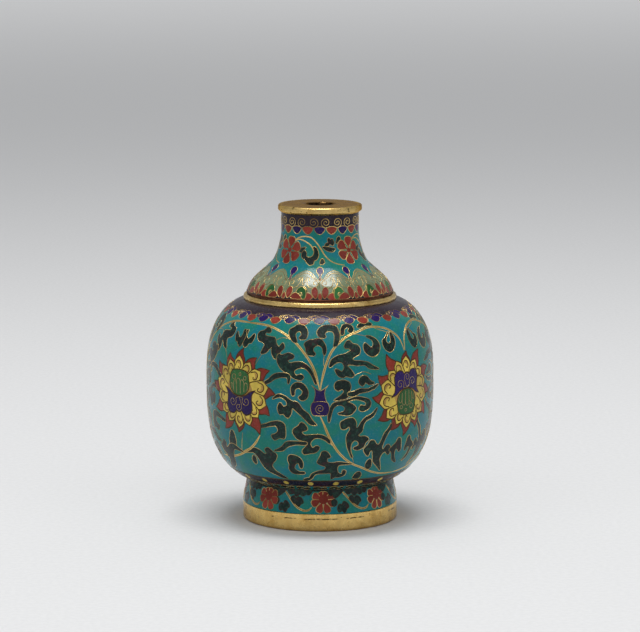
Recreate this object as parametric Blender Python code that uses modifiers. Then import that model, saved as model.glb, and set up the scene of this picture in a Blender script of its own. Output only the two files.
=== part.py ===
"""A cloisonne enamel snuff bottle: turned copper cores, enamel skins and gilt rings.

The origin is the centre of the foot's lower face, and +Z is up. Sizes are in millimetres, and
each shape is a profile in the XZ plane that a Screw modifier turns about the Z axis.
"""

import math

import bpy

MM = 0.001

# Heights of the stretches, from the floor up
FOOT_RIM_HEIGHT = 3.9
FOOT_FLARE_HEIGHT = 5.3
BODY_LOWER_HEIGHT = 22.3
BODY_UPPER_HEIGHT = 17.7
RIB_HEIGHT = 1.15
DOME_HEIGHT = 6.85
NECK_FLARE_HEIGHT = 7.3
NECK_HEIGHT = 3.9
LIP_HEIGHT = 1.6

# Outer diameters
FOOT_RIM_DIAMETER = 34.2
FOOT_WAIST_DIAMETER = 32.2
BODY_DIAMETER = 50.2
DOME_DIAMETER = 32.6
DOME_TURN_DIAMETER = 21.4
NECK_DIAMETER = 17.1

# How far the gilt pieces stand out beyond what they sit on
RIB_PROUD = 0.6
LIP_OVERHANG = 0.7
LIP_LEDGE = 0.2

# Mouth
MOUTH_DIAMETER = 6.0
SLEEVE_WALL = 0.8
SLEEVE_LENGTH = 7.0

# Walls and clearances
ENAMEL_THICKNESS = 0.5
CORE_THICKNESS = 0.9
FOOT_RIM_WALL = 1.7
BASE_THICKNESS = 0.8
BASE_RECESS = 2.2
FLOOR_THICKNESS = 0.9
SEAM_CLEARANCE = 0.05
BASE_CLEARANCE = 0.1

# Flat wires stood on edge round the enamel bands
WIRE_WIDTH = 0.24
WIRE_PROUD = 0.06

# Bands of the enamel, measured along the outline
NECK_BAND_WIDTH = 4.4
NECK_FLOWER_WIDTH = 8.3
DOME_BASE_LINE = 0.5
COLLAR_WIDTH = 5.6
BEAD_BAND_WIDTH = 2.6
WAIST_STRIP_WIDTH = 2.4

# Fillets
LIP_EDGE_RADIUS = 0.35
FOOT_RIM_EDGE_RADIUS = 0.3

# Fullness of the body's curves, 2 for an ellipse and more for a squarer one, and the degrees
# of the quarter turn that each runs through
SHOULDER_FULLNESS = (2.8, 1.7)
SHOULDER_REACH = 90.0
BELLY_FULLNESS = (3.2, 3.0)
BELLY_REACH = 60.0

# Handle lengths, as shares of their stretch, and slopes in degrees where the neck meets the dome
NECK_FLARE_PULL = (0.48, 0.12)
DOME_PULL = (0.62, 0.42)
DOME_TURN_SLOPE = 43.5
DOME_BASE_SLOPE = 71.0

# How far out the foot's curve has flared at a third and two thirds of its height, as shares
FOOT_FLARE_SHARES = (0.45, 0.85)

# Facets
SEGMENTS = 40
EDGE_STEPS = 3
CURVE_SAMPLES = 160
BODY_STEPS = 12
FIELD_STEPS = 5
COLLAR_STEPS = 4
BAND_STEPS = 2
FOOT_STEPS = 3

GILT = ("gilt", (0.72, 0.48, 0.17), 0.32, 1.0)
COPPER = ("copper_core", (0.36, 0.20, 0.12), 0.55, 1.0)
PURPLE = ("purple_enamel", (0.05, 0.02, 0.16), 0.25, 0.0)
TURQUOISE = ("turquoise_enamel", (0.01, 0.22, 0.22), 0.25, 0.0)
PALE_GREEN = ("pale_green_enamel", (0.26, 0.36, 0.18), 0.25, 0.0)
NAVY = ("navy_enamel", (0.01, 0.02, 0.07), 0.25, 0.0)

# Heights of the joints, from the floor up
WAIST_Z = FOOT_RIM_HEIGHT + FOOT_FLARE_HEIGHT
WIDEST_Z = WAIST_Z + BODY_LOWER_HEIGHT
RIB_Z = WIDEST_Z + BODY_UPPER_HEIGHT
DOME_Z = RIB_Z + RIB_HEIGHT
DOME_TURN_Z = DOME_Z + DOME_HEIGHT
NECK_Z = DOME_TURN_Z + NECK_FLARE_HEIGHT
LIP_Z = NECK_Z + NECK_HEIGHT
TOP_Z = LIP_Z + LIP_HEIGHT
JOINT_Z = RIB_Z + RIB_HEIGHT / 2

CORE_OUTSIDE = ENAMEL_THICKNESS + SEAM_CLEARANCE
CORE_INSIDE = CORE_OUTSIDE + CORE_THICKNESS


def full_curve(widest, end, fullness, reach):
    """Points from the widest place to the end of a superellipse that is upright where it is widest."""
    most = math.radians(reach)
    across = 1 - math.cos(most) ** (2 / fullness[1])
    along_axis = math.sin(most) ** (2 / fullness[0])
    points = []
    for i in range(CURVE_SAMPLES + 1):
        turn = most * i / CURVE_SAMPLES
        inwards = (1 - math.cos(turn) ** (2 / fullness[1])) / across
        away = math.sin(turn) ** (2 / fullness[0]) / along_axis
        radius = widest[0] + (end[0] - widest[0]) * inwards
        points.append((radius, widest[1] + (end[1] - widest[1]) * away))
    return points


def bezier(start, first, second, end):
    points = []
    for i in range(CURVE_SAMPLES + 1):
        t = i / CURVE_SAMPLES
        weights = ((1 - t) ** 3, 3 * t * (1 - t) ** 2, 3 * t * t * (1 - t), t ** 3)
        ends = (start, first, second, end)
        points.append(tuple(sum(w * p[k] for w, p in zip(weights, ends)) for k in (0, 1)))
    return points


def body_outline():
    """The outside of the body, from the rib down to the waist over the foot."""
    top = (DOME_DIAMETER / 2, RIB_Z)
    widest = (BODY_DIAMETER / 2, WIDEST_Z)
    waist = (FOOT_WAIST_DIAMETER / 2, WAIST_Z)
    upper = full_curve(widest, top, SHOULDER_FULLNESS, SHOULDER_REACH)
    lower = full_curve(widest, waist, BELLY_FULLNESS, BELLY_REACH)
    return upper[::-1] + lower[1:]


def neck_outline():
    """The outside of the neck and dome, from the lip down to the rib."""
    lip = (NECK_DIAMETER / 2, LIP_Z)
    neck = (NECK_DIAMETER / 2, NECK_Z)
    turn = (DOME_TURN_DIAMETER / 2, DOME_TURN_Z)
    base = (DOME_DIAMETER / 2, DOME_Z)
    slope = math.radians(DOME_TURN_SLOPE)
    flare = NECK_FLARE_PULL[1] * math.hypot(turn[0] - neck[0], NECK_FLARE_HEIGHT)
    swell = DOME_PULL[0] * math.hypot(base[0] - turn[0], DOME_HEIGHT)
    settle = DOME_PULL[1] * math.hypot(base[0] - turn[0], DOME_HEIGHT)
    rest = math.radians(DOME_BASE_SLOPE)
    upper = bezier(
        neck,
        (neck[0], neck[1] - NECK_FLARE_PULL[0] * NECK_FLARE_HEIGHT),
        (turn[0] - flare * math.cos(slope), turn[1] + flare * math.sin(slope)),
        turn,
    )
    lower = bezier(
        turn,
        (turn[0] + swell * math.cos(slope), turn[1] - swell * math.sin(slope)),
        (base[0] - settle * math.cos(rest), base[1] + settle * math.sin(rest)),
        base,
    )
    return [lip] + upper + lower[1:]


def foot_outline():
    """The outside of the flared foot, from the waist down to the gilt rim."""
    waist = (FOOT_WAIST_DIAMETER / 2, WAIST_Z)
    rim = (FOOT_RIM_DIAMETER / 2, FOOT_RIM_HEIGHT)
    flare = rim[0] - waist[0]
    drop = FOOT_FLARE_HEIGHT / 3
    first = (waist[0] + flare * FOOT_FLARE_SHARES[0], waist[1] - drop)
    second = (waist[0] + flare * FOOT_FLARE_SHARES[1], rim[1] + drop)
    return bezier(waist, first, second, rim)


def outline_length(outline):
    return sum(math.dist(a, b) for a, b in zip(outline, outline[1:]))


def point_at(outline, distance, inset):
    """The point a distance along the outline, moved inwards square to it."""
    left = distance
    for a, b in zip(outline, outline[1:]):
        step = math.dist(a, b)
        if left <= step or b is outline[-1]:
            share = left / step
            across = (b[0] - a[0]) / step
            down = (b[1] - a[1]) / step
            radius = a[0] + (b[0] - a[0]) * share
            height = a[1] + (b[1] - a[1]) * share
            return (radius + down * inset, height - across * inset)
        left -= step
    return outline[-1]


def stations(begin, end, steps):
    """Distances evenly along a stretch of an outline."""
    return [begin + (end - begin) * i / steps for i in range(steps + 1)]


def along(outline, distances, inset):
    """The points at these distances along the outline, moved inwards."""
    return [point_at(outline, distance, inset) for distance in distances]


def shell(outline, distances, outside, inside):
    """The section of a skin or wall that follows the outline."""
    return along(outline, distances, outside) + along(outline, distances, inside)[::-1]


def every_other(distances):
    """Half of the distances, with the last one kept."""
    return distances[:-1:2] + distances[-1:]


def rounded(corner, before, after, radius):
    """A fillet in a profile, at a square corner between two neighbouring points."""

    def towards(target):
        length = math.dist(corner, target)
        return tuple((target[k] - corner[k]) / length for k in (0, 1))

    one = towards(before)
    two = towards(after)
    centre = tuple(corner[k] + radius * (one[k] + two[k]) for k in (0, 1))
    points = []
    for i in range(EDGE_STEPS + 1):
        turn = math.pi / 2 * i / EDGE_STEPS
        points.append(
            tuple(
                centre[k] - radius * (two[k] * math.cos(turn) + one[k] * math.sin(turn))
                for k in (0, 1)
            )
        )
    return points


def clear_scene():
    for item in list(bpy.data.objects):
        bpy.data.objects.remove(item, do_unlink=True)


def material(finish):
    name, colour, roughness, metallic = finish
    made = bpy.data.materials.get(name) or bpy.data.materials.new(name)
    made.use_nodes = True
    shader = made.node_tree.nodes["Principled BSDF"]
    shader.inputs["Base Color"].default_value = (*colour, 1)
    shader.inputs["Roughness"].default_value = roughness
    shader.inputs["Metallic"].default_value = metallic
    made.diffuse_color = (*colour, 1)
    return made


def turned(name, profile, finish, collection, closed=True):
    """Turns a profile about Z. It runs down its outer side, and an open one ends on the axis."""
    mesh = bpy.data.meshes.new(name)
    corners = [(radius * MM, 0, height * MM) for radius, height in profile]
    edges = [(i, i + 1) for i in range(len(corners) - 1)]
    if closed:
        edges.append((len(corners) - 1, 0))
    mesh.from_pydata(corners, edges, [])
    mesh.materials.append(material(finish))
    made = bpy.data.objects.new(name, mesh)
    collection.objects.link(made)
    screw = made.modifiers.new("Turn", "SCREW")
    screw.axis = "Z"
    screw.angle = math.tau
    screw.steps = SEGMENTS
    screw.render_steps = SEGMENTS
    screw.use_merge_vertices = True
    screw.merge_threshold = 0.000001
    screw.use_smooth_shade = True
    return made


def mouth(collection):
    """The lip plate and the sleeve that a stopper's cork sits in."""
    bore = MOUTH_DIAMETER / 2
    rim = NECK_DIAMETER / 2 + LIP_OVERHANG
    under = NECK_DIAMETER / 2 + LIP_LEDGE
    edge = rounded((rim, TOP_Z), (bore, TOP_Z), (rim, LIP_Z), LIP_EDGE_RADIUS)
    plate = [(bore, TOP_Z)] + edge + [(under, LIP_Z), (bore, LIP_Z)]
    turned("mouth_rim", plate, GILT, collection)

    top = LIP_Z - SEAM_CLEARANCE
    low = top - SLEEVE_LENGTH
    outside = bore + SLEEVE_WALL
    sleeve = [(bore, top), (outside, top), (outside, low), (bore, low)]
    turned("mouth_sleeve", sleeve, COPPER, collection)


def band_wire(name, outline, distance, collection):
    half = WIRE_WIDTH / 2
    strip = shell(outline, (distance - half, distance + half), -WIRE_PROUD, ENAMEL_THICKNESS)
    turned(name, strip, GILT, collection)


def neck_and_dome(collection):
    """The copper neck, its three fields of enamel and the wire at the foot of the dome."""
    outline = neck_outline()
    length = outline_length(outline)
    gap = SEAM_CLEARANCE / 2
    wire = length - DOME_BASE_LINE
    flower_end = NECK_BAND_WIDTH + NECK_FLOWER_WIDTH
    dome_end = wire - WIRE_WIDTH / 2 - SEAM_CLEARANCE
    band = stations(SEAM_CLEARANCE, NECK_BAND_WIDTH - gap, BAND_STEPS)
    flowers = stations(NECK_BAND_WIDTH + gap, flower_end - gap, FIELD_STEPS)
    dome = stations(flower_end + gap, dome_end, FIELD_STEPS)

    def skin(name, distances, finish):
        turned(name, shell(outline, distances, 0, ENAMEL_THICKNESS), finish, collection)

    skin("neck_band_enamel", band, PURPLE)
    skin("neck_flower_enamel", flowers, TURQUOISE)
    skin("dome_enamel", dome, PALE_GREEN)
    band_wire("dome_base_wire", outline, wire, collection)

    backing = band + flowers + dome + [length]
    joint = JOINT_Z + gap
    outer = along(outline, backing, CORE_OUTSIDE)
    inner = along(outline, every_other(backing), CORE_INSIDE)
    outer.append((outer[-1][0], joint))
    inner.append((inner[-1][0], joint))
    turned("neck_core", outer + inner[::-1], COPPER, collection)


def rib(collection):
    """The gilt half-round ring that covers the joint of dome and body."""
    inside = DOME_DIAMETER / 2 - ENAMEL_THICKNESS
    middle = RIB_Z + RIB_HEIGHT / 2
    half = RIB_HEIGHT / 2 - SEAM_CLEARANCE
    ring = [(inside, middle + half)]
    steps = EDGE_STEPS * 2
    for i in range(steps + 1):
        turn = math.pi * i / steps
        ring.append((DOME_DIAMETER / 2 + RIB_PROUD * math.sin(turn), middle + half * math.cos(turn)))
    ring.append((inside, middle - half))
    turned("shoulder_rib", ring, GILT, collection)


def body(collection):
    """The raised copper body and the enamel of its collar, field and lower band."""
    outline = body_outline()
    length = outline_length(outline)
    gap = SEAM_CLEARANCE / 2
    beside_wire = WIRE_WIDTH / 2 + SEAM_CLEARANCE
    lower_wire = length - WAIST_STRIP_WIDTH
    upper_wire = lower_wire - BEAD_BAND_WIDTH
    collar = stations(SEAM_CLEARANCE, COLLAR_WIDTH - gap, COLLAR_STEPS)
    field = stations(COLLAR_WIDTH + gap, upper_wire - beside_wire, BODY_STEPS)
    beads = stations(upper_wire + beside_wire, lower_wire - beside_wire, BAND_STEPS)
    strip = stations(lower_wire + beside_wire, length - SEAM_CLEARANCE, BAND_STEPS)

    def skin(name, distances, finish):
        turned(name, shell(outline, distances, 0, ENAMEL_THICKNESS), finish, collection)

    skin("collar_enamel", collar, PURPLE)
    skin("body_enamel", field, TURQUOISE)
    band_wire("bead_upper_wire", outline, upper_wire, collection)
    skin("bead_enamel", beads, NAVY)
    band_wire("bead_lower_wire", outline, lower_wire, collection)
    skin("waist_enamel", strip, TURQUOISE)

    backing = [0] + collar + field + beads + strip + [length]
    outer = along(outline, backing, CORE_OUTSIDE)
    inner = along(outline, every_other(backing), CORE_INSIDE)
    neck_seat = DOME_DIAMETER / 2 - CORE_OUTSIDE
    foot_seat = FOOT_WAIST_DIAMETER / 2 - CORE_OUTSIDE
    joint = JOINT_Z - gap
    under = WAIST_Z + gap
    floor = under + FLOOR_THICKNESS
    cavity = [point for point in inner if point[1] > floor]
    profile = [(0, floor), (cavity[-1][0], floor)] + cavity[::-1]
    profile += [(neck_seat - CORE_THICKNESS, joint), (neck_seat, joint), (neck_seat, outer[0][1])]
    profile += outer + [(foot_seat, outer[-1][1]), (foot_seat, under), (0, under)]
    turned("body_core", profile, COPPER, collection, closed=False)


def foot(collection):
    """The copper foot, its enamel, the gilt rim and the plate inside it."""
    outline = foot_outline()
    gap = SEAM_CLEARANCE / 2
    field = stations(SEAM_CLEARANCE, outline_length(outline) - SEAM_CLEARANCE, FOOT_STEPS)
    surface = along(outline, field, 0)

    def wall(name, outside, inside, finish):
        outer = [(radius - outside, height) for radius, height in surface]
        inner = [(radius - inside, height) for radius, height in reversed(surface)]
        turned(name, outer + inner, finish, collection)

    wall("foot_enamel", 0, ENAMEL_THICKNESS, TURQUOISE)
    wall("foot_core", CORE_OUTSIDE, CORE_INSIDE, COPPER)

    rim = FOOT_RIM_DIAMETER / 2
    bore = rim - FOOT_RIM_WALL
    top = FOOT_RIM_HEIGHT - gap
    section = [(bore, top)]
    section += rounded((rim, top), (bore, top), (rim, 0), FOOT_RIM_EDGE_RADIUS)
    section += rounded((rim, 0), (rim, top), (bore, 0), FOOT_RIM_EDGE_RADIUS)
    section.append((bore, 0))
    turned("foot_rim", section, GILT, collection)

    plate = bore - BASE_CLEARANCE
    upper = BASE_RECESS + BASE_THICKNESS
    disc = [(0, upper), (plate, upper), (plate, BASE_RECESS), (0, BASE_RECESS)]
    turned("base_plate", disc, GILT, collection, closed=False)


def main():
    clear_scene()
    collection = bpy.data.collections.new("snuff_bottle")
    bpy.context.scene.collection.children.link(collection)
    mouth(collection)
    neck_and_dome(collection)
    rib(collection)
    body(collection)
    foot(collection)


main()
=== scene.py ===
"""The looks of a cloisonne enamel snuff bottle: a wired lotus scroll on turquoise, and gilt rings.

A place on an enamel skin is (degrees round from the front, millimetres down the outline), and the
outline starts at the top of the neck, of the body or of the foot. Blossoms are drawn in
millimetres about their own middle. In an outline, a point that is given twice is a sharp corner.
"""

import math
import random

import bmesh
import bpy
import numpy as np
from bpy.props import FloatProperty, FloatVectorProperty, IntProperty, PointerProperty
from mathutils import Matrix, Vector, noise
from mathutils.geometry import delaunay_2d_cdt


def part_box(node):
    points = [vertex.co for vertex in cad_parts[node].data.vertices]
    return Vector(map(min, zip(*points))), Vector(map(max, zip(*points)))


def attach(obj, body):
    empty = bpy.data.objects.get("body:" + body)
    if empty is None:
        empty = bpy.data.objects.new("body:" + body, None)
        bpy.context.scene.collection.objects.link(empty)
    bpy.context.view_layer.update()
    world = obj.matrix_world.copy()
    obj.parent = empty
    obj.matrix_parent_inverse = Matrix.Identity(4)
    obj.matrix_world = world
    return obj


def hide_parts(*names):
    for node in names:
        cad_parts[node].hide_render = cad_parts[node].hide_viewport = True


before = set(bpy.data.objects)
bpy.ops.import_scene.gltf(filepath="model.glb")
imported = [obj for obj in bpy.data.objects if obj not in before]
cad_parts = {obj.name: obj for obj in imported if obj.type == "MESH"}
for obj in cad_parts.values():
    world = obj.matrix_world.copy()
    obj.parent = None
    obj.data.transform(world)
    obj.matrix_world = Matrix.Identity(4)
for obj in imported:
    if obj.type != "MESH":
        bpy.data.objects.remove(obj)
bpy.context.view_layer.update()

bl_info = {
    "name": "Cloisonne snuff bottle",
    "version": (1, 0, 0),
    "blender": (4, 5, 0),
    "location": "View3D > Sidebar > Bottle",
    "description": "Enamel skins, wires and gilt rings of a snuff bottle",
    "category": "Object",
}

MM = 0.001
FULL_TURN = 360.0

# The enamel skins from the top down, and the material slot of each
NECK_SKINS = {
    "neck_band_enamel": "purple_enamel",
    "neck_flower_enamel": "turquoise_enamel",
    "dome_enamel": "pale_green_enamel",
}
BODY_SKINS = {
    "collar_enamel": "purple_enamel",
    "body_enamel": "turquoise_enamel",
    "bead_enamel": "navy_enamel",
    "waist_enamel": "turquoise_enamel",
}
FOOT_SKINS = {"foot_enamel": "turquoise_enamel"}

# The camera of the photograph
CAMERA_PLACE = (0.0, -0.6978, 0.1524)
CAMERA_PITCH = 8.75
CAMERA_LENS = 179.66
# The pale room round it, the place that every lamp faces, and the floor's size in metres
ROOM_COLOUR = (0.95, 0.97, 1, 1)
ROOM_STRENGTH = 0.38
LAMP_AIM = (0, 0, 0.035)
FLOOR_RADIUS = 6.0

# Points of a pattern that are nearer than this are one point, in millimetres
MERGE = 0.002
# A point of a wire that lies nearer than this to the chord of its neighbours is left out
WIRE_SLACK = 0.006 * MM
# How far wires stay from the ends of a surface, and the widest gap that two skins share out
WIRE_END = 0.05
SKIN_GAP = 0.1
# Points inside a cell, in shares of a facet: how far apart their rows are, how far the first and
# the last row stay from a skin's ends, and how near a point may be to a line and to the seam
ROW_SHARE = 0.87
FIRST_ROW = 0.7
LAST_ROW = 0.4
CLEAR_SHARE = 0.32
SEAM_SHARE = 0.4
# A point further round than this lies on the seam, and one this near to a skin's end is part of it
SEAM_TURN = 179.99
END_REACH = 0.1
# The facets of a skin's back, in millimetres, and how many points are compared at a time
BACK_FACET = 5.0
BLOCK = 512
# How long the steps along a curve are, in millimetres
STEP = 0.3
SMALL_STEP = 0.25
FINE_STEP = 0.2
WAIST_STEP = 0.35
# How many steps a turn of a spiral has
SPIRAL_STEPS = 16

# The seam of the foot rim: millimetres up, and the degrees round that its open dashes take
SEAM_UP = 2.95
SEAM_DASHES = ((-38, -36.4), (-27, -18), (-12, 13), (20, 35), (62, 74), (118, 131), (166, 174),
               (-151, -139), (-104, -88))
# How much lower the gilt rib reaches than its CAD node, where its curve starts, and its steps
RIB_FOOT = 0.18
RIB_SEAT = 0.5
RIB_STEPS = 12
# How far above its underside the lip plate's outer edge ends
LIP_UNDERCUT = 0.45
# The radii that round the corners of the sections, from the upper corner at the bore on
LIP_ROUNDING = (0.22, 0.4, 0.3, 0.1, 0)
FOOT_ROUNDING = (0, 0.2, 0.45, 0.3)
FLAT_WIRE_ROUNDING = 0.05
# The flat wires, and the gilding of each
BAND_WIRES = {
    "dome_base_wire": "brown_wire",
    # The bead band's wires are darkened: partly dull, worn gilding and partly painted shade under
    # the body's swell
    "bead_upper_wire": "dull_wire",
    "bead_lower_wire": "dull_wire",
}

# Each gilding: which gold it has, how worn and how rough it is, and how deep its dents are
GILDINGS = {
    "gilt_rim": ("gold", 0.2, 0.3, 0.0001),
    "gilt_lip": ("gold", 0.15, 0.3, 0.0001),
    "gilt_foot": ("rim_gold", 0.1, 0.28, 0.00006),
    "gilt_wire": ("gold", 0.25, 0.3, 0.00003),
    "gilt_stem": ("gold", 0.2, 0.3, 0.00003),
    "crown_wire": ("crown_gold", 0.25, 0.34, 0.00003),
    # Painted shade: a near-black brown gold for the blossom and foot leaf wires, standing in for
    # their dark reflections
    "worn_wire": ("painted_shade_gold", 0.4, 0.4, 0.00003),
    "dull_wire": ("dull_and_shaded_gold", 0.45, 0.42, 0.00003),
    "brown_wire": ("brown", 0.3, 0.45, 0.00003),
}
DARK_COPPER = (0.05, 0.028, 0.016)
# Browns: in pits, on dim wires, on the lip plate, round its hole, inside it with its soot, in the
# nicks of its edge, and on the foot rim as streaks, at its lower edge and in its seam
PIT_BROWN = (0.05, 0.03, 0.015)
DIM_BROWN = (0.11, 0.062, 0.034)
PLATE_BROWN = (0.42, 0.26, 0.09)
WORN_BROWN = (0.2, 0.11, 0.045)
HOLE_BROWN = (0.12, 0.065, 0.028)
SOOT = (0.014, 0.009, 0.006)
NICK_BROWN = (0.05, 0.028, 0.012)
STREAK_BROWN = (0.42, 0.28, 0.1)
EDGE_BROWN = (0.2, 0.105, 0.035)
SEAM_BROWN = (0.03, 0.018, 0.01)
# What a gold is multiplied by in its darker clouds
GOLD_SHADE = (0.74, 0.66, 0.52)

# How much of a colour its darker or cooler clouds and its paler or warmer ones have
TURQUOISE_CLOUDS = ((0.66, 0.93, 1.17), (1.3, 1.02, 0.8))
PLAIN_CLOUDS = ((0.86,) * 3, (1.06,) * 3)
# Stains in the leaves, as (scale, roughness, start, full, colour) of their noise
LEAF_STAINS = (
    (620.0, 0.6, 0.52, 0.68, (0.034, 0.012, 0.014)),
    (1050.0, 0.65, 0.5, 0.66, (0.014, 0.058, 0.036)),
)

# Where the large blossoms stand, in degrees round and millimetres down the body
LEFT_BLOSSOM = -44.3
RIGHT_BLOSSOM = 48.5
BLOSSOM_DOWN = 22.0
# How far from its middle the petals of a large blossom start, and the brown ring behind its pod
OUTER_ROOT = 4.9
INNER_ROOT = 3.4
HEART_RADIUS = 3.9

# How far the edge of a leaf lies outside the drawn outline, and the gap between a stem's wires
LEAF_GROWTH = 0.16
STEM_GAP = 0.31

# The lower edges of the dark bands of neck and collar and the upper edge of the dome's, in
# millimetres down
NECK_BAND = 2.75
COLLAR_BAND = 4.2
DOME_BAND = 19.85
# How far the navy band reaches past its skin, and where the pale panels of the dome end
NAVY_MARGIN = 0.3
PANEL_END = 19.9

# How many of each stand round the bottle, where the first of a row does, and a dot's two radii
NECK_QUARTERS = 4
NECK_LAPPETS = 20
DOME_PANELS = 12
COLLAR_LAPPETS = 40
LAPPET_START = -0.5
BEAD_DOTS = 22
BEAD_DOT = (0.62, 0.7)
BEAD_START = 10.3
WAIST_LEAVES = 30
FOOT_BLOSSOMS = 8

# Leaves between the two front blossoms, right of the bud and then left of it
RIGHT_LEAVES = (
    [(8.6, 10.7), (9.9, 9.6), (10.4, 8.2), (9.3, 6.5), (7, 6.1), (4.5, 6.05), (1.6, 6.2),
     (-0.6, 6.9), (-1.5, 7.8), (-0.4, 8.6), (1.6, 9), (2.9, 8.7), (2.4, 8.1), (3.3, 7.55),
     (5.2, 7.35), (7.2, 7.6), (8, 8.4), (7.8, 9.6), (7.3, 10.8)],
    [(2.3, 12.7), (3, 11.6), (2.4, 10.4), (0.6, 9.4), (-1.5, 9.2), (-3.5, 9.5), (-5.3, 9.5),
     (-7.4, 10), (-8, 10.5), (-7.2, 11.2), (-6.6, 12.3), (-4.8, 12.8), (-3, 12.75), (-2.6, 12.4),
     (-3.6, 11.9), (-3.5, 11.1), (-2, 10.6), (-0.3, 10.6), (1.3, 11.1), (1.9, 12.3)],
    [(25.5, 8.95), (28, 9.1), (30.7, 9.8), (32.2, 11), (31.7, 12.2), (30, 13.1), (27.4, 13.4),
     (24.9, 12.9), (23.3, 12), (23.2, 11), (24.2, 10.5), (25.5, 11), (27.2, 11.6), (28.8, 11),
     (28.7, 10), (27, 9.4)],
    [(5.5, 14), (7, 13.4), (9.5, 12.9), (13, 12.6), (15.9, 11.9), (15.2, 11.4), (13.4, 11.3),
     (12.8, 10.9), (14, 10), (15.6, 9.8), (17.2, 10.5), (19.6, 10.8), (20.8, 11.7), (20.1, 12.7),
     (18.2, 13.1), (16.3, 13.6), (17.4, 14.15), (20.5, 14.3), (24.5, 14.7), (27, 15.4),
     (30.4, 16.2), (30.4, 16.2), (25.5, 15.9), (22.8, 15.1), (19, 15.1), (15.5, 14.85),
     (13.4, 15.1), (15.6, 16.2), (16.8, 17.1), (15.8, 17.6), (13, 17.3), (11.2, 17.6), (8.8, 17),
     (7.6, 15.9), (9, 16), (10.8, 16.4), (12.3, 15.6), (11.7, 14.6), (10, 14.2), (7.5, 14.5),
     (4.8, 15.3)],
    [(39.9, 8.5), (36.4, 9.9), (36.4, 9.9), (35, 10.2), (34.7, 11.2), (36, 12.3), (38.4, 12.8),
     (41, 12.2), (42.6, 10.9), (42.5, 9.5), (41.2, 8.6), (40.6, 9.4), (40.4, 10.4), (39, 11.1),
     (37.3, 10.9), (37, 10)],
    [(4.3, 27.2), (4.1, 25.9), (4.9, 24.4), (6.6, 23.2), (9.5, 22.9), (13, 22.6), (17.5, 22),
     (21.5, 22.2), (24.8, 22.8), (25.6, 23.7), (24.2, 24.7), (21.2, 25.1), (19.6, 24.6),
     (20.6, 23.9), (22.5, 24.1), (23.4, 23.4), (21.5, 22.8), (17.5, 22.4), (13.4, 22.9),
     (16, 23.5), (17.8, 24.3), (16.8, 25.1), (14.7, 25.8), (11.5, 25.7), (9, 25.4), (11.6, 25.1),
     (12.5, 24.2), (10.5, 23.5), (8, 23.6), (6, 24.6), (4.8, 26.8)],
    [(7.5, 19.9), (7.4, 19), (9, 18.4), (12, 18.3), (14.6, 18.9), (15, 20), (14.1, 20.9),
     (14.4, 21.5), (12, 22.2), (7, 22.5), (7, 22.5), (10.5, 21.5), (12, 20.6), (10.9, 20.1),
     (9, 20.4)],
    [(14, 21), (17, 20.8), (20, 20.3), (24, 20.4), (27, 20), (30, 19.5), (30, 19.5), (27.5, 20.4),
     (24, 20.9), (20, 21.1), (17, 21.7), (14.4, 21.6)],
    [(16.4, 35.3), (14.2, 33.2), (13.4, 31.4), (13.6, 30.2), (15.1, 29.1), (14.5, 28.3),
     (12.6, 28.8), (10.7, 28.7), (10.2, 27.5), (11.6, 27), (14, 26.6), (16.4, 26.6), (18, 27.6),
     (17.8, 28.6), (19, 28.8), (20.8, 27.6), (23, 26.6), (26.5, 25.9), (29.4, 24.7), (29.4, 24.7),
     (27.3, 26.3), (23.2, 27.3), (21.8, 28.3), (21.2, 29.5), (19.3, 30.3), (20.2, 30.8),
     (23, 30.8), (25, 31.4), (23.5, 32.2), (22.4, 33.2), (19.5, 33.7), (17.3, 33.3), (19.8, 32.7),
     (19.5, 31.8), (17.4, 31.5), (15.7, 32.4), (15.7, 34), (17, 35.4)],
    [(38, 28.6), (36.6, 29.5), (34.2, 30.6), (32.8, 32), (31.4, 33), (29.7, 32.8), (28.4, 32),
     (26.4, 31.9), (25.2, 32.7), (23.1, 33.8), (24, 34.7), (25.8, 35.4), (26.5, 34.4), (28, 34.2),
     (28.7, 35.4), (29.8, 37), (32.5, 38.2), (36.5, 39.8), (36.5, 39.8), (34.4, 37.8),
     (33.3, 36.4), (34.2, 35.3), (36, 34.8), (37.4, 35.3), (38.6, 35.6), (39.1, 34.7),
     (38.4, 33.6), (36.6, 33.3), (34.6, 34.3), (33.5, 33.8), (34.3, 32.3), (36, 30.8), (39, 29)],
    [(38.8, 34.6), (40.6, 33.8), (42.4, 33.2), (43.8, 32.2), (45.4, 32.3), (46.3, 33.6),
     (46.9, 34.9), (45.8, 35.3), (44.4, 34.6), (43, 34.6), (42.6, 35.4), (43.4, 36.6), (45.8, 38),
     (42.6, 37.2), (41.2, 35.8), (40.2, 35)],
    [(11.6, 8.3), (11.9, 7), (13.6, 6), (16, 5.9), (18.3, 6.4), (18.7, 7.3), (17.2, 7.9),
     (15.8, 7.5), (16.6, 6.9), (15.2, 6.6), (13.3, 7.2), (12.9, 8.2)],
    [(21.6, 6.7), (23.5, 6), (26.5, 5.7), (29.5, 5.8), (30.9, 6.2), (29.6, 6.5), (26.5, 6.4),
     (24, 6.8)],
    [(19.6, 18.8), (20.6, 17.7), (23.2, 17.6), (25.6, 18.7), (27.6, 19.2), (25.2, 19.4),
     (23, 18.9), (21.4, 19.6)],
)
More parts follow.
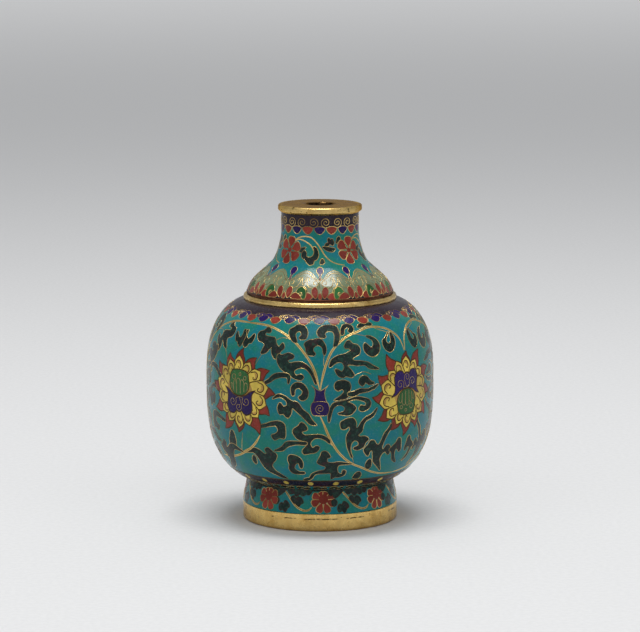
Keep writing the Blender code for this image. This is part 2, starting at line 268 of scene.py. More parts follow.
LEFT_LEAVES = (
    [(-37.8, 8.9), (-39.6, 9.8), (-41.2, 10.2), (-42.8, 9.5), (-42.9, 8.2), (-44.4, 8.5),
     (-45.2, 9.6), (-44.2, 10.8), (-42.9, 11.9), (-41.2, 11.7), (-40.2, 11), (-38.4, 10.8),
     (-37.2, 9.6)],
    [(-14.6, 9.7), (-16.7, 8.2), (-16.6, 7.1), (-14.6, 6.6), (-12.8, 5.95), (-10, 6), (-7.8, 6.8),
     (-6.9, 8), (-7.6, 9.1), (-9.8, 9.35), (-11, 9), (-9.9, 8.4), (-10.5, 7.6), (-12.3, 7.5),
     (-13.6, 8.3), (-12.4, 10)],
    [(-24.5, 9.4), (-27, 9.2), (-30.4, 9), (-30.8, 8.2), (-28.2, 8.15), (-28.2, 7.5), (-30.3, 7),
     (-32, 7.8), (-34.6, 8.25), (-35.2, 9.1), (-33.8, 10.1), (-31, 10.5), (-29.8, 11), (-30.6, 12),
     (-31.2, 12.9), (-28.5, 12.6), (-27, 11.8), (-25.6, 11.3), (-25.1, 12.6), (-23.2, 13.8),
     (-22, 13.1), (-20.4, 12.1), (-18.8, 11.3), (-19.8, 10.4), (-21.6, 11.3), (-23.5, 10.5)],
    [(-1.8, 18.6), (-3.4, 16.8), (-5.6, 15.3), (-9, 14.4), (-12.5, 14.4), (-15.4, 14.6),
     (-16.4, 13.9), (-13.8, 13.5), (-13.6, 12.9), (-16.2, 12.5), (-19.5, 13), (-21.4, 12.8),
     (-21.9, 14), (-20.2, 15.5), (-16.8, 16.7), (-13, 17.7), (-9.8, 18.1), (-8.2, 17.5),
     (-9.4, 17), (-12, 17.2), (-13, 16.2), (-10.5, 15.5), (-7.2, 15.6), (-4.3, 16.9), (-2.2, 18.9)],
    [(-28.5, 19), (-26, 18.3), (-23.5, 17.3), (-20.5, 16.9), (-16.5, 16.9), (-14.9, 17.6),
     (-15.8, 19), (-16.2, 17.8), (-19, 17.6), (-22.5, 18), (-25.5, 18.9), (-28, 19.4)],
    [(-13.8, 21.4), (-14.2, 19.9), (-12.4, 18.9), (-9.6, 18.8), (-7.2, 19.5), (-6, 20.8),
     (-6.6, 22), (-8.8, 22.5), (-10.4, 21.9), (-9, 21.4), (-8.4, 20.5), (-10.4, 19.8),
     (-12.4, 20.2), (-12.8, 21.4)],
    [(-10.8, 23.2), (-8.6, 24.5), (-5.6, 25.6), (-4, 26.8), (-1.7, 27.9), (-1.7, 27.9), (-5, 27.6),
     (-8.2, 26.2), (-10.8, 25.2), (-13.8, 24.2), (-14.4, 25.4), (-16, 26.4), (-18.4, 25.6),
     (-20.2, 25.7), (-21.2, 24.4), (-20, 23.3), (-18.2, 24.1), (-16.3, 23.7), (-17, 22.6),
     (-20.2, 22), (-24, 22.5), (-24, 22.5), (-21, 21.5), (-17.5, 21.8), (-14.2, 22.8),
     (-12.2, 22.9)],
    [(-31.8, 28.7), (-28, 28.2), (-24.3, 27.6), (-20.8, 27.4), (-18.1, 27.9), (-17.5, 29.4),
     (-18, 31), (-20.8, 31), (-23.4, 31.5), (-24.8, 30.6), (-22.6, 30.2), (-21.1, 29.4),
     (-22.2, 28.4), (-25.5, 28.5), (-31.6, 29.1)],
    [(4.6, 31.2), (1.2, 30.2), (-3.5, 30.1), (-7.6, 30.2), (-9.2, 29.4), (-6.5, 28.9), (-7.2, 28),
     (-9.2, 27.4), (-10.8, 28.2), (-13, 28.9), (-13.4, 29.7), (-11.5, 30.9), (-8.8, 31.4),
     (-6.3, 31.8), (-6.9, 32.7), (-8.8, 33.7), (-8.2, 34.5), (-5.4, 34.3), (-2.2, 34), (-0.4, 33),
     (-1.8, 32.6), (-3.8, 33.1), (-5, 32), (-3.2, 30.9), (-0.4, 30.7), (2.6, 31.2), (4.9, 32)],
    [(-7, 31.8), (-13, 31.7), (-17, 31.9), (-20, 33.2), (-24, 34.1), (-24, 34.1), (-19.5, 33.9),
     (-16.5, 32.9), (-12, 32.3), (-7.4, 32.3)],
    [(-44, 35.4), (-40, 34.5), (-36.5, 34), (-33.2, 34.3), (-30, 35.2), (-28.7, 34.9),
     (-29.4, 34.1), (-27.6, 33.6), (-25.3, 34.4), (-23.2, 35.1), (-24.2, 36.3), (-26, 37.1),
     (-27.2, 38.2), (-25.6, 39.5), (-22.5, 40.6), (-19.9, 41.7), (-19.9, 41.7), (-23.6, 41.4),
     (-27.5, 40.4), (-30.5, 39.7), (-32.6, 38.4), (-34.4, 36.4), (-36.5, 35.2), (-39.5, 35.1)],
    [(-9, 39.3), (-12, 39.2), (-14.2, 38.3), (-13.4, 37.2), (-11.4, 36.8), (-10.8, 38),
     (-9.8, 38.1), (-9.3, 36.7), (-10.6, 35.6), (-13.2, 35), (-15.9, 35), (-17, 36), (-16.5, 37.3),
     (-17, 38.6), (-15.2, 39.7), (-12, 39.9), (-9, 39.8)],
    [(-9.8, 42), (-8.6, 41.4), (-6, 41), (-4.4, 39.8), (-1, 39), (2.4, 38.6), (3.2, 37.7),
     (0.6, 37.2), (-1.3, 36.6), (-0.6, 35.8), (0.4, 34.9), (1.2, 34), (3.4, 34), (5.3, 35.2),
     (3.6, 35.5), (3.7, 36.5), (6.4, 36.8), (10.5, 36.6), (17, 37.2), (17, 37.2), (10.6, 37.3),
     (9.3, 38.2), (10.2, 39.6), (12.6, 39.9), (12.8, 38.9), (14.3, 39.1), (14, 40.3), (11, 40.9),
     (8.5, 40.9), (6.8, 41.5), (6.6, 40.4), (6, 39.6), (2, 39.6), (-2.6, 39.9), (-4.8, 41.3),
     (-7, 42)],
)

# Stems, each of two wires that run side by side
STEMS = (
    [(0.2, 20.2), (0.8, 18.4), (2.6, 15.3), (5.5, 12.3), (9.5, 10.3), (15, 8.7), (21, 7.8),
     (27, 7), (33, 6.95), (39, 7.6), (43.5, 8.8), (46.6, 10.4), (48.3, 13)],
    [(-0.2, 20.2), (-1, 18.6), (-2.9, 15.9), (-5.5, 13.8), (-9.5, 11.6), (-13.8, 9.8),
     (-18.5, 8.5), (-23, 7.6), (-29, 6.75), (-36, 6.4), (-45.5, 6.4)],
    [(0.2, 26), (2.2, 28), (4, 30), (6.5, 32.2), (9.8, 34.3), (14, 36.1), (18, 37.3), (23, 38.3),
     (30, 39.8), (38, 40.9), (48.5, 41.3)],
)
# The stem that runs on to the left under the left blossom, and leaves that have no mirror image
SIDE_LEAVES = (
    [(-52, 31.2), (-50.6, 30.8), (-49.2, 31.4), (-48.6, 33), (-49.6, 34.6), (-51.4, 35),
     (-53.6, 34.4), (-54, 33.2), (-53, 32.2)],
    [(-39, 37), (-37.6, 35.9), (-36.4, 36.3), (-36.6, 37.5), (-37.8, 38)],
    [(20.2, 41.6), (20.6, 40.2), (22.4, 39.6), (24.2, 40.4), (23.8, 41.8)],
    [(27.8, 36.4), (29, 38.2), (27.4, 38.9), (25.6, 38), (26, 36.8)],
)
SIDE_STEM = [(-31.5, 30.8), (-34.5, 32.6), (-38.6, 34.2), (-44.3, 35.6), (-50, 36.6), (-57, 37.3),
             (-66, 37.6)]
# Stalks of a single wire, of which the first has no mirror image
SIDE_STALK = [(-42.6, 30.8), (-44.2, 33.4), (-45.6, 35.6)]
STALKS = (
    [(2.1, 12.7), (1.8, 14.5), (2.5, 15.6)],
    [(15.5, 8.6), (19, 8.3), (22.5, 8.6), (25.5, 8.95)],
    [(31, 7), (35, 7.8), (39.9, 8.5)],
    [(-24.2, 9.9), (-21, 9.2), (-18, 9.2), (-15.5, 9.5)],
    [(4.9, 32), (6.6, 32.6)],
    [(16.9, 35.4), (18.4, 37.2)],
    [(-29.5, 12.2), (-33, 14.6), (-35.5, 16.4)],
    [(17, 17.3), (22, 16.6), (26, 17.2)],
)
# The right half of the bud between the front blossoms, and the line across its waist
BUD_HALF = [(0, 20.4), (1.6, 20.1), (4.2, 19.2), (4.2, 19.2), (2.9, 19.9), (2.3, 20.8),
            (2.6, 21.9), (3.3, 22.8), (4.2, 23.3), (4.6, 24.3), (4.1, 25.3), (3, 25.8), (0, 25.9)]
BUD_WAIST = [(-3.2, 22.9), (0, 22.7), (3.2, 22.9)]
# The curl on the bud, as (middle, start, turns, outer radius, inner radius)
BUD_CURL = ((0, 24.35), 180, 1.6, 1.05, 0.2)
# A cloud of the collar, and a lappet of it, whose half width is 1 across
COLLAR_CLOUD = [(-6.4, 4.3), (-4.8, 3.6), (-2.2, 3.3), (0, 3.6), (2.2, 3.3), (4.8, 3.6),
                (6.4, 4.3), (3, 4.8), (-3, 4.8)]
COLLAR_LOBE = [(-1, 0), (-1, 0.7), (-0.5, 1.3), (0, 1.5), (0.5, 1.3), (1, 0.7), (1, 0), (0, -0.4)]

# The right halves of a large blossom's crown and pod, in millimetres about its middle
CROWN_HALF = [(0, -4.3), (0.8, -4), (1.4, -4.6), (2.5, -4.7), (3.4, -4.2), (3.8, -3), (3.6, -1.4),
              (3.7, -0.2), (4.7, 0.9), (4.7, 0.9), (3.2, 0.4), (2.2, -0.3), (1.1, -0.7),
              (0, -0.85)]
POD_HALF = [(0, -0.65), (1.1, -0.5), (2.1, 0.1), (2.8, 1), (3, 2.2), (2.8, 3.3), (2.7, 4),
            (2.1, 4.7), (1.1, 5), (0, 5.05)]
# The curls on the crown, as (stalk, middle of the spiral, start, turns, radius)
CROWN_CURLS = (
    ([(-0.1, -0.9), (-0.6, -0.95)], (-2.05, -1.75), 125, -1.35, 1.15),
    ([(0.1, -0.9), (0.5, -1.1)], (1.95, -2.05), -125, 1.35, 1.15),
    ([(0, -0.9), (-0.35, -1.6), (-0.65, -2.3)], (0.15, -3.15), -110, 1.3, 0.95),
)
POD_FLUTES = (
    [(-2.35, 0.5), (-2.5, 1.6), (-2.1, 2.3), (-1.6, 1.9), (-1.45, 0.2)],
    [(-1.45, 0.2), (-1.5, 2.1), (-0.95, 2.9), (-0.45, 2.3), (-0.4, -0.2)],
    [(-0.4, -0.2), (-0.35, 2.5), (0.25, 3.1), (0.75, 2.4), (0.7, -0.2)],
    [(0.7, -0.2), (0.85, 2), (1.3, 2.6), (1.75, 1.9), (1.65, 0.2)],
    [(1.65, 0.2), (2, 1.6), (2.4, 1.9), (2.6, 1.4), (2.45, 0.6)],
)
# The rings over them, as (across, down, radius)
POD_SEEDS = ((-1.75, 3.3, 0.42), (-0.3, 4.05, 0.34), (1.55, 3.35, 0.62))
# Outer petals as (degrees clockwise from the top, reach in millimetres)
OUTER_PETALS = (
    (0, 8.9), (28, 10.1), (61, 9.9), (95, 9.8), (126, 9.6), (155, 9), (181, 9.8), (207, 9.3),
    (233, 9.8), (265, 9.6), (295, 9.2), (325, 10.3),
)
OUTER_PETAL = [(-1.3, 0), (-1.5, 0.35), (-1.3, 0.62), (-0.6, 0.82), (0.5, 1), (0.5, 1),
               (0.7, 0.74), (1.4, 0.45), (1.3, 0)]
INNER_PETAL = [(-0.8, 0), (-1, 0.45), (-0.92, 0.75), (-0.5, 0.88), (0.1, 1), (0.1, 1),
               (0.55, 0.86), (0.95, 0.7), (1, 0.45), (0.8, 0)]
INNER_HOOK = [(-0.85, 0.5), (-0.4, 0.74), (0.2, 0.74), (0.5, 0.56), (0.25, 0.4), (-0.1, 0.48)]
INNER_HEART = [(-0.4, 0.66), (-0.05, 0.76), (0.25, 0.72), (0.46, 0.56), (0.26, 0.42), (0.22, 0.54),
               (0, 0.62)]
# Inner petals as (degrees clockwise from the top, reach, half width in millimetres)
INNER_PETALS = (
    (0, 7.8, 1.3), (26, 7.5, 1.25), (50, 7.3, 1.35), (77, 7.6, 1.65), (104, 8, 1.7),
    (131, 7.8, 1.4), (154, 7.7, 1.2), (178, 8.1, 1.35), (203, 7.6, 1.25), (228, 7.9, 1.45),
    (256, 8.1, 1.7), (285, 7.7, 1.65), (312, 7.3, 1.3), (336, 7.6, 1.25),
)

# The field of the neck, a quarter turn of it
NECK_LEAVES = (
    [(-9.5, 6.9), (-6, 6.9), (-3, 7.7), (-2, 8.7), (-4.2, 9.6), (-7.6, 9.9), (-8.4, 10.6),
     (-12.5, 10.9), (-16.5, 10.4), (-20, 9.7), (-24.8, 9.1), (-24.4, 8), (-20.6, 7.8),
     (-18.8, 8.3), (-18.2, 9), (-14.5, 9.2), (-10, 8.9), (-8, 8.1), (-8.6, 7.4)],
    [(-30.4, 7.7), (-26, 7.15), (-20.6, 7), (-23.6, 7.6), (-27, 8.2)],
    [(3.5, 6.8), (9, 6.85), (15, 7), (21.5, 7.3), (18.5, 7.9), (13, 7.85), (8, 7.5)],
    [(7, 6.6), (9, 6), (12, 6), (11, 5.2), (13.4, 4.9), (15, 5.3), (18, 5.1), (20.4, 5.9),
     (18.5, 6.6), (15, 6.3), (11.5, 6.7)],
    [(0.2, 10.5), (1.6, 9.6), (4, 9.5), (5.6, 10.3), (3, 10.7)],
    [(26, 4.9), (29, 4.7), (31, 5.2), (28.5, 5.6), (24, 6.2), (24.5, 5.5)],
)
NECK_STEMS = (
    [(-38, 5.4), (-30, 4.8), (-20, 4.6), (-12, 4.9), (-5, 5.9), (1, 7.2), (7, 8.8), (14, 10),
     (22, 10.7), (31, 11.1)],
    [(-38, 5.6), (-30, 5.3), (-20, 5.8), (-12, 6.7), (-9, 7.6)],
)
# Its blossom: the place, the radius of its heart, and its petals as (degrees, reach, half width)
NECK_BLOSSOM = (43.5, 7.8)
NECK_HEART = 0.55
NECK_PETALS = (
    (5, 3, 1.08), (66, 2.9, 1.1), (124, 3.1, 1.12), (186, 3.1, 1.1), (243, 2.9, 1.05),
    (304, 3, 1.1),
)
# A lappet of the neck's band, whose half width is 1 across
NECK_LOBE = [(-1, 2.7), (-0.95, 3.3), (-0.45, 3.95), (0, 4.15), (0.45, 3.95), (0.95, 3.3),
             (1, 2.7), (0, 2.4)]
# A petal of a small blossom, as shares of its half width and its reach
SMALL_PETAL = [(0, 0.1), (0, 0.1), (0.34, 0.34), (0.76, 0.54), (1, 0.74), (0.86, 0.91), (0.45, 1),
               (-0.45, 1), (-0.86, 0.91), (-1, 0.74), (-0.76, 0.54), (-0.34, 0.34)]

# The dome, a twelfth of a turn of it, about the middle of a half blossom
RUYI_EDGE = [(0, 15.2), (2, 14.9), (5, 14.1), (8, 13.2), (12, 12.6), (15, 12.4), (18, 12.6),
             (22, 13.2), (25, 14.1), (28, 14.9), (30, 15.2)]
DOME_BUD = [(-0.9, 15), (-1, 13.7), (-2.6, 13.2), (-3.9, 12.4), (-2.8, 11.7), (0, 11.4),
            (2.8, 11.7), (3.9, 12.4), (2.6, 13.2), (1, 13.7), (0.9, 15)]
DOME_LEAF = [(10.2, 18.4), (11.4, 17.4), (14.5, 16.9), (17.6, 17.5), (18.8, 18.7), (17.8, 19.8),
             (14.8, 19.9), (14, 19.3), (15.6, 18.9), (14.6, 18.3), (12.4, 18.6)]
DOME_CURL = [(-12, 14.8), (-11.6, 16), (-9.4, 17), (-6, 17.2), (-3, 16.8), (-1.6, 16), (-3, 15.3),
             (-5.4, 15.4), (-5.6, 16.2), (-4, 16.2)]
DOME_ARCH = [(2.4, 15.3), (5.5, 14.7), (9, 13.8), (12.4, 13.2), (15, 13.1)]
DOME_RISE = [(15, 16.6), (13.6, 15.6), (12.8, 14.4), (10.4, 14.5), (9.6, 15.3)]
HALF_BLOSSOM_BACK = [(-14, 20.2), (-10, 19.2), (-4, 18.7), (4, 18.7), (10, 19.2), (14, 20.2)]
HALF_BLOSSOM_SIDE = (
    [(-15.6, 19.7), (-15.6, 19.7), (-13.4, 18.9), (-10.6, 18.4), (-7.8, 18.6), (-5.6, 19.4),
     (-5.6, 19.4), (-8.2, 19.9), (-12, 20)],
    [(-3.6, 19.7), (-6.2, 18.9), (-7, 18), (-6.2, 17.3), (-4.6, 16.9), (-2.7, 17.3), (-1.6, 18.1),
     (-1.9, 19)],
)
HALF_BLOSSOM_MIDDLE = [(0, 20), (-1.5, 19.5), (-1.4, 18.9), (0, 18.3), (0, 18.3), (1.4, 18.9),
                       (1.5, 19.5)]

# The foot, an eighth of a turn of it, about its blossom
FOOT_BLOSSOM = (2.5, 2.05)
FOOT_HEART = 1.05
FOOT_PETALS = (
    (-27, 1.75, 0.75), (27, 1.75, 0.75), (-70, 2.45, 0.82), (70, 2.45, 0.82), (-114, 2.75, 0.82),
    (114, 2.75, 0.82), (-159, 3.1, 0.78), (159, 3.1, 0.78),
)
FOOT_LEAVES = (
    [(-27, 0.25), (-25.6, 1), (-22.6, 0.8), (-20.6, 1.4), (-18, 0.9), (-15.6, 1.3), (-13, 0.8),
     (-11, 1), (-9.4, 0.25), (-15, 0.2), (-21, 0.2)],
    [(-24.4, 2), (-22.8, 1.6), (-20.8, 2.2), (-19, 1.8), (-16.8, 2), (-15.6, 2.8), (-17.2, 3),
     (-18.6, 3.6), (-20.4, 3.1), (-22.8, 2.8)],
    [(-34, 4.1), (-32.6, 3.3), (-30.8, 3.6), (-29.4, 2.8), (-27.4, 3.1), (-26, 3.8), (-27.6, 4.2),
     (-29, 5), (-31, 4.5), (-33, 4.8)],
    [(-41, 0.2), (-39.4, 1.2), (-37.6, 0.9), (-36.4, 1.7), (-33.8, 1.3), (-31.5, 0.7), (-30, 0.2),
     (-35, 0.2)],
    [(-38.5, 2.6), (-36.8, 2.2), (-35, 2.7), (-36, 3.4), (-37.8, 3.4)],
)
FOOT_STEM = [(-31, 0.3), (-28, 1.2), (-24.6, 2.4), (-20.6, 3.7), (-15.6, 4.5), (-11.4, 4.5),
             (-8.6, 3.8)]
WAIST_LEAF = [(-5.4, 46.2), (-3.8, 45.2), (-0.6, 45.2), (1.4, 45.7), (3.6, 45.2), (5.4, 46),
              (3.6, 47), (0.6, 47), (-1.4, 46.5), (-3.4, 47)]


def section_of(name):
    """The corners of a turned CAD node's section, as (radius, height) in millimetres."""
    places = np.array([vertex.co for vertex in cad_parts[name].data.vertices]) / MM
    places = places[(np.abs(places[:, 1]) < 0.001) & (places[:, 0] > 0)]
    return np.unique(np.round(places[:, [0, 2]], 3), axis=0)


def outer_side(name):
    """The corners of a skin's outer side: of each pair, the one that is further out."""
    section = section_of(name)
    apart = np.hypot(*(section[:, None] - section[None]).transpose(2, 0, 1))
    np.fill_diagonal(apart, np.inf)
    partner = apart.argmin(axis=1)
    away = np.hypot(section[:, 0], section[:, 1] - section[:, 1].mean())
    outer = section[away > away[partner]]
    return outer[np.argsort(-outer[:, 1])]


class Surface:
    """A turned outside, as a smooth curve through the outer corners of its CAD skins."""

    # Steps between two corners, and how near a corner of the next skin counts as the same one
    SAMPLES = 24
    NEAR = 0.3

    def __init__(self, skins):
        corners = []
        owners = []
        for name in skins:
            for corner in outer_side(name):
                if not corners or math.dist(corner, corners[-1]) > self.NEAR:
                    corners.append(corner)
                owners.append((name, corner))
        knots = np.array(corners)
        along = np.concatenate(([0], np.cumsum(np.hypot(*np.diff(knots, axis=0).T))))
        slope = np.gradient(knots, along, axis=0)
        path = [knots[0]]
        for i in range(len(knots) - 1):
            span = along[i + 1] - along[i]
            for t in np.arange(1, self.SAMPLES + 1) / self.SAMPLES:
                path.append(
                    (2 * t**3 - 3 * t**2 + 1) * knots[i]
                    + (t**3 - 2 * t**2 + t) * span * slope[i]
                    + (3 * t**2 - 2 * t**3) * knots[i + 1]
                    + (t**3 - t**2) * span * slope[i + 1]
                )
        self.path = np.array(path)
        self.down = np.concatenate(([0], np.cumsum(np.hypot(*np.diff(self.path, axis=0).T))))
        turn = np.gradient(self.path, self.down, axis=0)
        turn /= np.hypot(turn[:, 0], turn[:, 1])[:, None]
        self.outward = np.stack((-turn[:, 1], turn[:, 0]), axis=1)
        self.reach = {}
        for name in skins:
            ends = [self.down_at(corner) for owner, corner in owners if owner == name]
            self.reach[name] = (min(ends), max(ends))

    def down_at(self, corner):
        """How far down the outline its point nearest to this corner is."""
        return float(self.down[np.hypot(*(self.path - corner).T).argmin()])

    def across(self, down):
        """Millimetres to a degree, this far down."""
        return np.interp(down, self.down, self.path[:, 0]) * math.radians(1)

    def places(self, flat, lift=0.0):
        """Places in metres of points (degrees, millimetres down), raised by some millimetres."""
        turn, down = np.radians(flat[:, 0]), flat[:, 1]
        radius, height = (
            np.interp(down, self.down, self.path[:, k])
            + lift * np.interp(down, self.down, self.outward[:, k])
            for k in (0, 1)
        )
        return np.stack((radius * np.sin(turn), -radius * np.cos(turn), height), axis=1) * MM


def smooth(points, closed=True, step=STEP, across=1.0):
    """A curve through the points, in steps of some millimetres, across of them to a degree."""
    knots = np.array(points, float)
    count = len(knots)
    curve = []
    for i in range(count if closed else count - 1):
        around = [i + k if closed else min(max(i + k, 0), count - 1) for k in (-1, 0, 1, 2)]
        before, here, there, after = (knots[k % count] for k in around)
        length = math.hypot((there[0] - here[0]) * across, there[1] - here[1])
        if length < 1e-9:
            continue
        steps = max(3, math.ceil(length / step))
        for t in np.arange(steps) / steps:
            curve.append(
                0.5 * (2 * here + (there - before) * t
                       + (2 * before - 5 * here + 4 * there - after) * t * t
                       + (3 * here - before - 3 * there + after) * t**3)
            )
    if not closed:
        curve.append(knots[-1])
    return np.array(curve)


def grown(outline, grow, across):
    """A closed outline moved outwards by some millimetres."""
    if not grow:
        return outline
    flat = outline * (across, 1)
    run = np.roll(flat, -1, axis=0) - np.roll(flat, 1, axis=0)
    run /= np.maximum(np.hypot(run[:, 0], run[:, 1]), 1e-9)[:, None]
    area = (flat[:, 0] * np.roll(flat[:, 1], -1) - flat[:, 1] * np.roll(flat[:, 0], -1)).sum()
    away = np.stack((run[:, 1], -run[:, 0]), axis=1) * math.copysign(grow, area)
    return (flat + away) / (across, 1)


def inside(points, outline):
    """Which points lie inside a closed outline."""
    held = np.zeros(len(points), bool)
    for (x0, y0), (x1, y1) in zip(outline, np.roll(outline, -1, axis=0)):
        if y0 != y1:
            crossed = (y0 > points[:, 1]) != (y1 > points[:, 1])
            held ^= crossed & (points[:, 0] < (x1 - x0) * (points[:, 1] - y0) / (y1 - y0) + x0)
    return held


def mirrored(half):
    """A whole outline from its right half, which starts and ends on the middle line."""
    return list(half) + [(-x, y) for x, y in half[-2:0:-1]]


def shifted(points, turn, side=1):
    """Points some degrees further round, or their mirror image there."""
    return [(turn + side * x, y) for x, y in points]


def ring(count, across, down):
    """Points round a ring of these two radii."""
    turns = [math.tau * k / count for k in range(count)]
    return [(across * math.sin(turn), down * math.cos(turn)) for turn in turns]


def spiral(centre, start, turns, outer, inner, across=1.0):
    """A spiral inwards about a centre. The start is in degrees clockwise from the top."""
    steps = max(8, round(abs(turns) * SPIRAL_STEPS))
    points = []
    for i in range(steps + 1):
        share = i / steps
        turn = math.radians(start + FULL_TURN * turns * share)
        radius = outer + (inner - outer) * share
        off = radius * math.sin(turn) / across
        points.append((centre[0] + off, centre[1] - radius * math.cos(turn)))
    return points


class Part:
    """A cell of one colour inside a closed outline, or an open wire where it has no colour.

    Its wires are the kind of wire that runs along it, or None where none does.
    """

    def __init__(self, colour, points, wires):
        self.colour = colour
        self.points = np.array(points)
        self.wires = wires
        self.low = self.points.min(axis=0)
        self.high = self.points.max(axis=0)

    def moved(self, change):
        """The same part with its points changed."""
        return Part(self.colour, change(self.points), self.wires)

    def holds(self, points):
        """Which points this cell covers."""
        near = ((points >= self.low) & (points <= self.high)).all(axis=1)
        if near.any():
            near[near] = inside(points[near], self.points)
        return near


class Pattern:
    """What is drawn on one surface: bands of colour on a ground, and cells and wires over them."""

    def __init__(self, surface, ground, bands):
        self.surface = surface
        self.ground = ground
        self.bands = bands
        self.parts = []

    def drawn(self, points, closed, at, turn, step, grow=0.0):
        """A curve through points that are millimetres about a place, where one is given."""
        if at:
            return self.laid(smooth(points, closed, step), at, turn)
        across = float(self.surface.across(sum(point[1] for point in points) / len(points)))
        return grown(smooth(points, closed, step, across), grow, across)

    def laid(self, points, at, turn):
        """Points in millimetres about a place, turned clockwise by some degrees."""
        angle = math.radians(turn)
        x = points[:, 0] * math.cos(angle) - points[:, 1] * math.sin(angle)
        y = points[:, 0] * math.sin(angle) + points[:, 1] * math.cos(angle)
        down = at[1] + y
        return np.stack((at[0] + x / self.surface.across(down), down), axis=1)

    def cell(self, colour, points, wires="scroll", at=None, turn=0.0, step=STEP, grow=0.0):
        """Adds a cell of one colour inside a closed curve."""
        self.parts.append(Part(colour, self.drawn(points, True, at, turn, step, grow), wires))

    def line(self, points, wires="scroll", at=None, turn=0.0, step=STEP):
        """Adds an open wire."""
        self.parts.append(Part(None, self.drawn(points, False, at, turn, step), wires))

    def stem(self, path):
        """A brown stem between two wires that close in on each other at the ends."""
        across = float(self.surface.across(sum(point[1] for point in path) / len(path)))
        line = smooth(path, False, STEP, across)
        run = np.gradient(line * (across, 1), axis=0)
        run /= np.hypot(run[:, 0], run[:, 1])[:, None]
        share = np.linspace(0, 1, len(line))
        spread = STEM_GAP / 2 * np.clip(np.minimum(share, 1 - share) * 8, 0.15, 1)
        offset = np.stack((-run[:, 1] / across, run[:, 0]), axis=1) * spread[:, None]
        sides = (line + offset, line - offset)
        self.parts.append(Part("ochre", np.concatenate((sides[0], sides[1][::-1])), None))
        self.parts += [Part(None, side, "stem") for side in sides]

    def repeat(self, count):
        """Copies of the parts, so that there are this many evenly round the surface."""
        first = list(self.parts)
        for i in range(1, count):
            turn = FULL_TURN * i / count
            self.parts += [part.moved(lambda flat: flat + (turn, 0)) for part in first]

    def everywhere(self):
        """The parts and their copies a full turn away, where these reach into the first turn."""
        whole = []
        for part in self.parts:
            for shift in (-FULL_TURN, 0, FULL_TURN):
                if part.high[0] + shift > -181 and part.low[0] + shift < 181:
                    whole.append(part.moved(lambda flat: flat + (shift, 0)) if shift else part)
        return whole

    def wires(self, kind):
        """The visible runs of the wires of one kind, as (points, closed)."""
        whole = self.everywhere()
        runs = []
        for index, part in enumerate(whole):
            if part.wires == kind:
                over = [
                    other
                    for other in whole[index + 1:]
                    if other.colour
                    and (other.low <= part.high).all()
                    and (other.high >= part.low).all()
                ]
                runs += visible_runs(part.points, part.colour is not None, over)
        for run, closed in runs:
            run[:, 0] -= FULL_TURN * round(run[:, 0].mean() / FULL_TURN)
        return [(run, closed) for run, closed in runs if -180 <= run[:, 0].mean() < 180]


def covered(points, cells):
    """Which points lie in any of the cells."""
    held = np.zeros(len(points), bool)
    for cell in cells:
        held |= cell.holds(points)
    return held


def visible_runs(points, closed, over):
    """The stretches of a wire that no later cell covers, cut where they pass under one."""
    hidden = covered(points, over)
    if not hidden.any():
        return [(points.copy(), closed)]
    if hidden.all():
        return []
    if closed:
        points = np.roll(points, -int(np.flatnonzero(hidden)[0]), axis=0)
        points = np.concatenate((points, points[:1]))
        hidden = covered(points, over)
    runs = []
    run = []
    for i, point in enumerate(points):
        if hidden[i]:
            if run:
                runs.append(run + [crossing(points[i - 1], point, over)])
            run = []
            continue
        if not run and i:
            run.append(crossing(point, points[i - 1], over))
        run.append(point)
    if run:
        runs.append(run)
    return [(np.array(run), False) for run in runs if len(run) > 2]


def crossing(seen, hidden, over):
    """Where a wire passes under a cell, between a point in sight and a hidden one."""
    for _ in range(6):
        middle = (seen + hidden) / 2
        if covered(middle[None], over)[0]:
            hidden = middle
        else:
            seen = middle
    return seen


def blossom(pattern, at, turn):
    """A large lotus blossom: outer and inner petals about a crown with spirals and a ribbed pod."""

    def petal(colour, shape, wires, root, lean, reach, half=1):
        points = [(x * half, -root - y * (reach - root)) for x, y in shape]
        if colour:
            step = SMALL_STEP if wires else FINE_STEP
            pattern.cell(colour, points, wires, at, turn + lean, step)
        else:
            pattern.line(points, wires, at, turn + lean, FINE_STEP)

    for lean, reach in OUTER_PETALS:
        petal("red", OUTER_PETAL, "blossom", OUTER_ROOT, lean, reach)
    for place in INNER_PETALS:
        petal("yellow", INNER_PETAL, "blossom", INNER_ROOT, *place)
        petal("amber", INNER_HEART, None, INNER_ROOT, *place)
        petal(None, INNER_HOOK, "blossom", INNER_ROOT, *place)
    pattern.cell("amber", ring(16, HEART_RADIUS, HEART_RADIUS), None, at, turn)
    pattern.cell("pod", mirrored(POD_HALF), "blossom", at, turn)
    for flute in POD_FLUTES:
        pattern.line(flute, "crown", at, turn, FINE_STEP)
    for x, y, size in POD_SEEDS:
        pattern.line(spiral((x, y), -60, 1.05, size, size * 0.8), "crown", at, turn, FINE_STEP)
    pattern.cell("violet", mirrored(CROWN_HALF), "blossom", at, turn)
    for stalk, centre, start, turns, size in CROWN_CURLS:
        pattern.line(stalk + spiral(centre, start, turns, size, 0.2), "crown", at, turn, FINE_STEP)


def petals(pattern, at, leaves, heart):
    """A small blossom of petals (degrees, reach, half width) that widen outwards from a heart."""
    for lean, reach, half in leaves:
        petal = [(x * half, -y * reach) for x, y in SMALL_PETAL]
        pattern.cell("red", petal, at=at, turn=lean, step=FINE_STEP)
    pattern.cell("red", ring(8, heart, heart), None, at, step=FINE_STEP)


